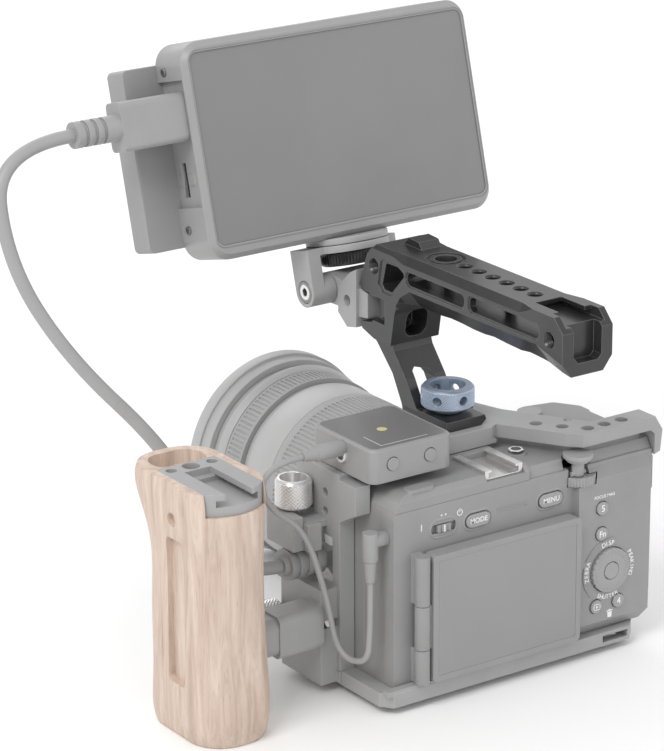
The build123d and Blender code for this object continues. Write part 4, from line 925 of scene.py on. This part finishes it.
@dataclass
class RearControls(Assembly):
    """Printed legends, icons, lips and small fittings on the camera's rear and top."""

    shell_y: float = -22.6
    pad_y: float = -26.0
    cap_out: float = 0.94
    wheel: tuple[float, float] = (47.4, 33.1)

    # name, text, type size, X, Z and the face under the button
    LEGENDS = (("mode", "MODE", 3.0, -17.8, 69.0, -22.6), ("menu", "MENU", 3.0, 18.7, 69.3, -22.6),
               ("five", "5", 4.0, 42.9, 61.0, -26.0), ("function", "Fn", 3.7, 42.8, 49.9, -26.0),
               ("four", "4", 3.8, 52.1, 18.4, -26.0))
    # word, type size, radius, middle angle, step and whether its feet point outwards
    WHEEL_WORDS = (("DISP", 2.9, 11.6, -4.0, 7.8, False), ("PEAKING", 2.7, 11.8, 86.0, 8.2, False),
                   ("ZEBRA", 2.8, 11.8, -84.0, 8.8, False), ("SHUTTER", 2.6, 11.8, 184.0, 7.8, True))

    def build(self) -> None:
        """Makes the legends and fittings."""
        self.legends()
        self.wheel_ring()
        self.icons()
        self.lips()
        self.top_insert()

    def legends(self) -> None:
        """Prints the words and numbers on and beside the buttons."""
        ink = Lettering(self.shop)
        for name, text, size, x, z, face_y in self.LEGENDS:
            body = "button_delete" if name == "four" else f"button_{name}"
            ink.mark(f"legend_{name}", text, size, rear_at(x, face_y - self.cap_out, z), body)
        bm = bmesh.new()
        plate(bm, rounded(0.5, 2.8, 0.1, 2), PRINT_MM, rear_at(-45.4, self.shell_y - 0.04, 71.6))
        for x in (-35.6, -33.6):
            plate(bm, disc(0.4, 14), PRINT_MM, rear_at(x, self.shell_y - 0.04, 74.8))
        power = rear_at(-26.6, self.shell_y - 0.01, 74.0)
        swept_lip(bm, [(1.05, 0.0), (1.4, 0.0), (1.4, 0.06), (1.05, 0.06)], 115.0, 310.0, power, 20)
        plate(bm, rounded(0.36, 1.7, 0.1, 2), PRINT_MM, power @ Matrix.Translation((0, 0.9, 0)))
        self.piece("legend_switch", bm, "white_pad_print", "gloss_cap")
        ink.mark("legend_focus", "FOCUS MAG", 1.9, rear_at(44.2, self.pad_y - 0.04, 66.0))

    def wheel_ring(self) -> None:
        """Prints the four functions round the control wheel."""
        ink = Lettering(self.shop)
        centre = (self.wheel[0], self.pad_y - 0.04, self.wheel[1])
        bm = bmesh.new()
        for word, size, radius, middle, step, feet_out in self.WHEEL_WORDS:
            ink.round(bm, word, size, centre, radius, middle, step, feet_out)
        self.piece("legend_wheel", bm, "white_pad_print", "gloss_cap")

    def icons(self) -> None:
        """Prints the play symbol on its button and the bin under the delete button."""
        bm = bmesh.new()
        at = rear_at(40.6, self.pad_y - self.cap_out, 18.3)
        for w, h, dx, dy in ((3.4, 0.34, 0, 1.2), (3.4, 0.34, 0, -1.2), (0.34, 2.7, 1.55, 0),
                             (0.34, 2.7, -1.55, 0)):
            plate(bm, rounded(w, h, 0.08, 2), PRINT_MM, at @ Matrix.Translation((dx, dy, 0)))
        plate(bm, [(-0.5, -0.65), (0.7, 0.0), (-0.5, 0.65)], PRINT_MM, at)
        self.piece("icon_play", bm, "white_pad_print", "gloss_cap", "button_play")
        bm = bmesh.new()
        at = rear_at(48.0, self.pad_y - 0.04, 13.4)
        plate(bm, [(-1.0, -1.5), (1.0, -1.5), (1.2, 0.9), (-1.2, 0.9)], PRINT_MM, at)
        plate(bm, rounded(3.3, 0.45, 0.1, 2), PRINT_MM, at @ Matrix.Translation((0, 1.4, 0)))
        plate(bm, rounded(1.2, 0.35, 0.1, 2), PRINT_MM, at @ Matrix.Translation((0, 1.85, 0)))
        self.piece("icon_bin", bm, "white_pad_print", "gloss_cap")

    def lips(self) -> None:
        """Raises the lips round the control wheel, the long buttons and the switch, and the wheel's teeth."""
        bm = bmesh.new()
        lip = [(13.3, 0.3), (13.4, -0.32), (13.6, -0.5), (13.9, -0.45), (14.2, 0.3)]
        at = Matrix.Translation((self.wheel[0], self.pad_y, self.wheel[1])) @ REAR
        flipped = [(r, -z) for r, z in lip]
        for start, turn in ((80.0, 74.0), (166.0, 60.0)):
            swept_lip(bm, flipped, start, turn, at)
        for x, z, long in ((-17.8, 69.0, 6.2), (18.7, 69.3, 6.2), (-34.6, 69.4, 5.4)):
            self.pill_lip(bm, x, z, long)
        self.piece("rear_lips", bm, "moulded_polycarbonate_grey", "grey_body_plastic")
        bm = bmesh.new()
        for k in range(44):
            a = math.tau * k / 44
            at = Matrix.Translation((self.wheel[0] + 8.0 * math.cos(a), self.pad_y - 1.42,
                                     self.wheel[1] + 8.0 * math.sin(a))) @ REAR @ Matrix.Rotation(a, 4, "Z")
            plate(bm, rounded(1.5, 0.42, 0.15, 2), 0.22, at, 0.08, 1)
        self.piece("control_wheel_teeth", bm, "gloss_abs_cap", "gloss_cap", "control_wheel")
        bm = bmesh.new()
        plate(bm, rounded(0.7, 3.0, 0.2, 2), 0.04, rear_at(-34.6, self.shell_y - 0.8, 69.4))
        self.piece("switch_mark", bm, "white_pad_print", "gloss_cap", "mode_switch")

    def pill_lip(self, bm: BMesh, x: float, z: float, straight: float) -> None:
        """Raises a soft collar round a round-ended button.

        Args:
            bm: The mesh to add to.
            x: Centre of the button.
            z: Height of the button.
            straight: Length between its round ends.
        """
        collar = [(3.3, -0.3), (3.4, 0.2), (3.7, 0.3), (4.3, 0.1), (4.6, -0.3)]
        half = straight / 2
        swept_lip(bm, collar, -90.0, 180.0, rear_at(x + half, self.shell_y, z), 14)
        swept_lip(bm, collar, 90.0, 180.0, rear_at(x - half, self.shell_y, z), 14)
        for side in (-1, 1):
            along = Matrix(((0, 0, 1, 0), (side, 0, 0, 0), (0, 1, 0, 0), (0, 0, 0, 1)))
            plate(bm, collar, straight, rear_at(x - half, self.shell_y, z) @ along)

    def top_insert(self) -> None:
        """Sets the white hexagonal insert and two moulded dashes into the camera's top and rear."""
        bm = bmesh.new()
        at = Matrix.Translation((15.0, -4.5, 86.2))
        plate(bm, disc(3.3, 6, 10.0), 0.35, at @ Matrix.Translation((0, 0, -0.2)), 0.1, 1)
        self.piece("top_insert", bm, "white_pad_print", "gloss_cap")
        bm = bmesh.new()
        turned(bm, [(0.0, 0.0), (0.6, 0.0), (0.75, 0.12), (1.3, 0.12), (1.5, 0.0), (2.1, 0.0), (2.2, -0.1)],
               at @ Matrix.Translation((0, 0, 0.17)), 32)
        self.piece("top_insert_screw", bm, "zinc_plated_steel", "steel")
        bm = bmesh.new()
        for z in (70.0, 71.3):
            plate(bm, rounded(15.0, 0.42, 0.2, 3), 0.22, rear_at(-0.8, self.shell_y + 0.05, z), 0.07, 1)
        self.piece("rear_dashes", bm, "moulded_polycarbonate_grey", "grey_body_plastic")


@dataclass
class ReceiverFace(Assembly):
    """Gloss top window, lamp and printed corner line of the wireless receiver."""

    top: float = 104.4

    def build(self) -> None:
        """Makes the window, the lamp, the line and the socket's collar."""
        bm = bmesh.new()
        plate(bm, rounded(36.0, 38.4, 3.2), 0.12, Matrix.Translation((-43.25, 7.0, self.top - 0.02)), 0.05, 1)
        self.piece("receiver_window", bm, "monitor_cover_glass", "gloss_cap")
        bm = bmesh.new()
        turned(bm, [(0.0, 0.16), (1.7, 0.16), (2.0, 0.08), (2.1, 0.0)],
               Matrix.Translation((-44.4, 5.4, self.top + 0.08)), 28)
        self.piece("receiver_lamp", bm, "amber_lamp", "gloss_cap")
        bm = bmesh.new()
        corner_line = [(-55.9, 1.9), (-55.9, -10.2), (-33.4, -10.2), (-33.4, -9.8), (-55.5, -9.8),
                       (-55.5, 1.9)]
        plate(bm, corner_line, PRINT_MM, Matrix.Translation((0, 0, self.top + 0.1)))
        self.piece("receiver_line", bm, "grey_pad_print", "gloss_cap")
        bm = bmesh.new()
        turned(bm, [(2.0, 0.0), (2.0, 1.0), (2.3, 1.3), (3.0, 1.3), (3.3, 1.0), (3.5, 0.0)],
               aim((-1, 0, 0), (-63.0, 6.0, 97.6)), 28)
        self.piece("receiver_socket_shade", bm, "nickel_plated_brass", "bright_aluminium")


@dataclass
class MonitorFace(Assembly):
    """Lip round the monitor's glass, the rim of its side port and the bright ring on the tilt bolt."""

    glass: tuple[float, float] = (136.0, 78.8)
    glass_z: float = 65.8
    front_y: float = -9.4

    def build(self) -> None:
        """Makes the lip, the rim and the ring."""
        bm = bmesh.new()
        frame_lip(bm, rounded(self.glass[0] + 1.6, self.glass[1] + 1.6, 4.4, 8), 1.0, 0.5,
                  rear_at(0.0, self.front_y + 0.15, self.glass_z), 0.18)
        self.piece("monitor_lip", bm, "powder_coated_magnesium", "grey_body_plastic", "monitor", LEAN)
        bm = bmesh.new()
        frame_lip(bm, rounded(15.4, 5.2, 2.4), 0.5, 0.35, aim((-1, 0, 0), (-69.0, 6.5, 54.3)), 0.1)
        self.piece("monitor_port_rim", bm, "knurled_bright_nickel", "bright_aluminium", "monitor", LEAN)
        bm = bmesh.new()
        turned(bm, [(1.7, -1.0), (1.7, 0.0), (1.95, 0.2), (3.1, 0.2), (3.35, 0.0)],
               aim((-1, 0, 0), (-24.6, 0, 0)), 32)
        self.piece("tilt_bolt_ring", bm, "knurled_bright_nickel", "bright_aluminium", "tilt_arm", LEAN)


@dataclass
class Grips(Assembly):
    """Knurled sleeves of the lock wheels and the two bright knobs."""


    def build(self) -> None:
        """Makes every sleeve."""
        sleeves = (
            (Knurl("lock_wheel_knurl", "handle_lock_wheel", "blue_grey_knurl", 10.74, 101.4, 108.9, 58, 0.36,
                   Weave.SLANTED, Matrix.Translation((0, 21.7, 0)), [30 + 60 * k for k in range(6)], 2.0),
             "knurled_blue_grey_painted_highlight", False),
            (Knurl("mount_wheel_knurl", "mount_lock_wheel", "black_anodised", 12.34, 8.8, 13.4, 60, 0.4,
                   Weave.STRAIGHT, Matrix.Identity(4)), "knurled_black_aluminium", True),
            (Knurl("side_knob_knurl", "side_knob", "bright_aluminium", 7.34, -86.9, -76.1, 30, 0.42,
                   Weave.DIAMOND,
                   Matrix.Translation((0, 34.6, 22.0)) @ Matrix.Rotation(math.radians(90.0), 4, "Y")),
             "knurled_bright_nickel", False),
            (Knurl("clamp_knob_knurl", "cable_clamp_knob", "bright_aluminium", 7.34, 73.3, 83.7, 30, 0.42,
                   Weave.DIAMOND, Matrix.Translation((-73.6, 25.0, 0))), "knurled_bright_nickel", False),
        )
        for sleeve, finish, leaning in sleeves:
            sleeve.build(self.shop[finish], leaning)
            LOG.info("knurled %s", sleeve.name)


@dataclass
class Hardware(Assembly):
    """Small button-head screws and threaded inserts."""


    def build(self) -> None:
        """Makes the monitor's side screws and the handle's threaded inserts."""
        for k, (y, z) in enumerate(((6.5, 34.0), (6.5, 99.0))):
            self.screw(f"monitor_side_screw_{k + 1}", aim((-1, 0, 0), (-70.9, y, z)), 1.8, "monitor", LEAN)
        for k, (y, z) in enumerate(((-59.0, 152.6), (56.3, 153.1))):
            bm = bmesh.new()
            for side in (-1, 1):
                turned(bm, [(2.56, 0.4), (2.3, 0.0), (2.56, -0.35), (2.3, -0.7), (2.56, -1.05), (2.3, -1.4),
                            (2.56, -1.75), (2.3, -2.1), (2.56, -2.45)],
                       aim((side, 0, 0), (side * 11.0, y, z)), 28)
            self.piece(f"handle_thread_{k + 1}", bm, "anodised_aluminium_black", "black_anodised")

    def screw(self, name: str, at: Matrix, radius: float, body: str, place: Matrix | None = None) -> None:
        """Makes a button-head screw whose hexagonal socket is a flat dark hexagon of painted shade.

        Args:
            name: The piece's name.
            at: Where the head's seat stands, its axis along Z.
            radius: Radius of the head.
            body: The body that carries it.
            place: A further move, in metres.
        """
        bm = bmesh.new()
        head = bmesh.new()
        bmesh.ops.create_circle(head, cap_ends=True, cap_tris=False, segments=24, radius=radius)
        grown = bmesh.ops.extrude_face_region(head, geom=list(head.faces))["geom"]
        bmesh.ops.translate(head, vec=(0, 0, radius * 0.5), verts=points_of(grown))
        cap = [g for g in grown if isinstance(g, BMFace)]
        bmesh.ops.bevel(head, geom=list({e for f in cap for e in f.edges}), offset=radius * 0.2,
                        affect="EDGES", segments=2, profile=0.5, material=-1)
        bmesh.ops.transform(head, matrix=at, verts=head.verts)
        merge_into(bm, head)
        self.piece(name, bm, "zinc_plated_steel", "steel", body, place)
        bm = bmesh.new()
        # painted shade: a thin dark hexagon on the head stands in for the socket's hollow
        plate(bm, disc(radius * 0.52, 6), 0.02, at @ Matrix.Translation((0, 0, radius * 0.5)))
        self.piece(name + "_socket_shade", bm, "painted_recess_shade", "steel", body, place)


# ---------------------------------------------------------------- studio
@dataclass
class Studio:
    """Plain pale floor, soft lights and the camera."""

    camera_at: Point = (-783.27, -1031.16, 568.46)
    azimuth: float = -34.60
    elevation: float = 19.13
    roll: float = -0.353
    focal_px: float = 3426.9
    picture_px: tuple[int, int] = (664, 751)
    # name, place in metres, size in metres and power in watts
    LAMPS = (("key", (-1.3, -0.5, 1.6), 0.9, 17.0), ("fill", (1.5, -1.2, 0.9), 1.4, 4.0),
             ("rim", (0.4, 1.8, 1.3), 1.4, 9.0))

    def build(self) -> None:
        """Makes the floor, world, lights and camera."""
        scene = bpy.context.scene
        scene.view_settings.view_transform = "Standard"
        self.floor()
        self.world(scene)
        for name, at, size, power in self.LAMPS:
            lamp = bpy.data.lights.new(name, "AREA")
            lamp.size = size
            lamp.energy = power
            obj = bpy.data.objects.new(name, lamp)
            obj.location = at
            obj.rotation_euler = (Vector((0, 0.03, 0.1)) - Vector(at)).to_track_quat("-Z", "Y").to_euler()
            scene.collection.objects.link(obj)
        self.camera(scene)

    def floor(self) -> None:
        """Makes the pale floor under the lowest point of the object."""
        bm = bmesh.new()
        bmesh.ops.create_grid(bm, x_segments=1, y_segments=1, size=4.0)
        bmesh.ops.translate(bm, vec=(0, 0, CAD_BOX[0][2] - 0.2 * MM), verts=bm.verts)
        mesh = bpy.data.meshes.new("floor")
        bm.to_mesh(mesh)
        bm.free()
        floor = bpy.data.objects.new("floor", mesh)
        mat = bpy.data.materials.new("matt_white_paper")
        mat.use_nodes = True
        shader = mat.node_tree.nodes["Principled BSDF"]
        shader.inputs["Base Color"].default_value = linear("f8f8f8")
        shader.inputs["Roughness"].default_value = 0.9
        mesh.materials.append(mat)
        bpy.context.scene.collection.objects.link(floor)

    def world(self, scene: bpy.types.Scene) -> None:
        """Lights the scene evenly from all round.

        Args:
            scene: The scene to light.
        """
        world = bpy.data.worlds.new("studio")
        world.use_nodes = True
        background = world.node_tree.nodes["Background"]
        background.inputs["Color"].default_value = linear("ffffff")
        background.inputs["Strength"].default_value = 0.82
        scene.world = world

    def camera(self, scene: bpy.types.Scene) -> None:
        """Places the camera from its angles.

        Args:
            scene: The scene that looks through it.
        """
        a, e, r = (math.radians(v) for v in (self.azimuth, self.elevation, self.roll))
        back = Vector((math.sin(a) * math.cos(e), -math.cos(a) * math.cos(e), math.sin(e)))
        right = Vector((0, 0, 1)).cross(back).normalized()
        up = back.cross(right)
        right, up = (right * math.cos(r) + up * math.sin(r), up * math.cos(r) - right * math.sin(r))
        data = bpy.data.cameras.new("camera")
        data.sensor_width = 36.0
        data.lens = self.focal_px * data.sensor_width / max(self.picture_px)
        data.clip_end = 20.0
        camera = bpy.data.objects.new("camera", data)
        turn = Matrix((right, up, back)).transposed().to_4x4()
        camera.matrix_world = Matrix.Translation(tuple(c * MM for c in self.camera_at)) @ turn
        scene.collection.objects.link(camera)
        scene.camera = camera


def main() -> None:
    """Builds the rig in order."""
    logging.basicConfig(level=logging.INFO, format="%(message)s")
    Studio().build()
    shop = Shop()
    Cords(shop).build()
    Dressing(shop).dress()
    for assembly in (RearControls(shop), ReceiverFace(shop), MonitorFace(shop), Grips(shop), Hardware(shop)):
        assembly.build()
        LOG.info("built %s", type(assembly).__name__)


if __name__ == "__main__":
    main()
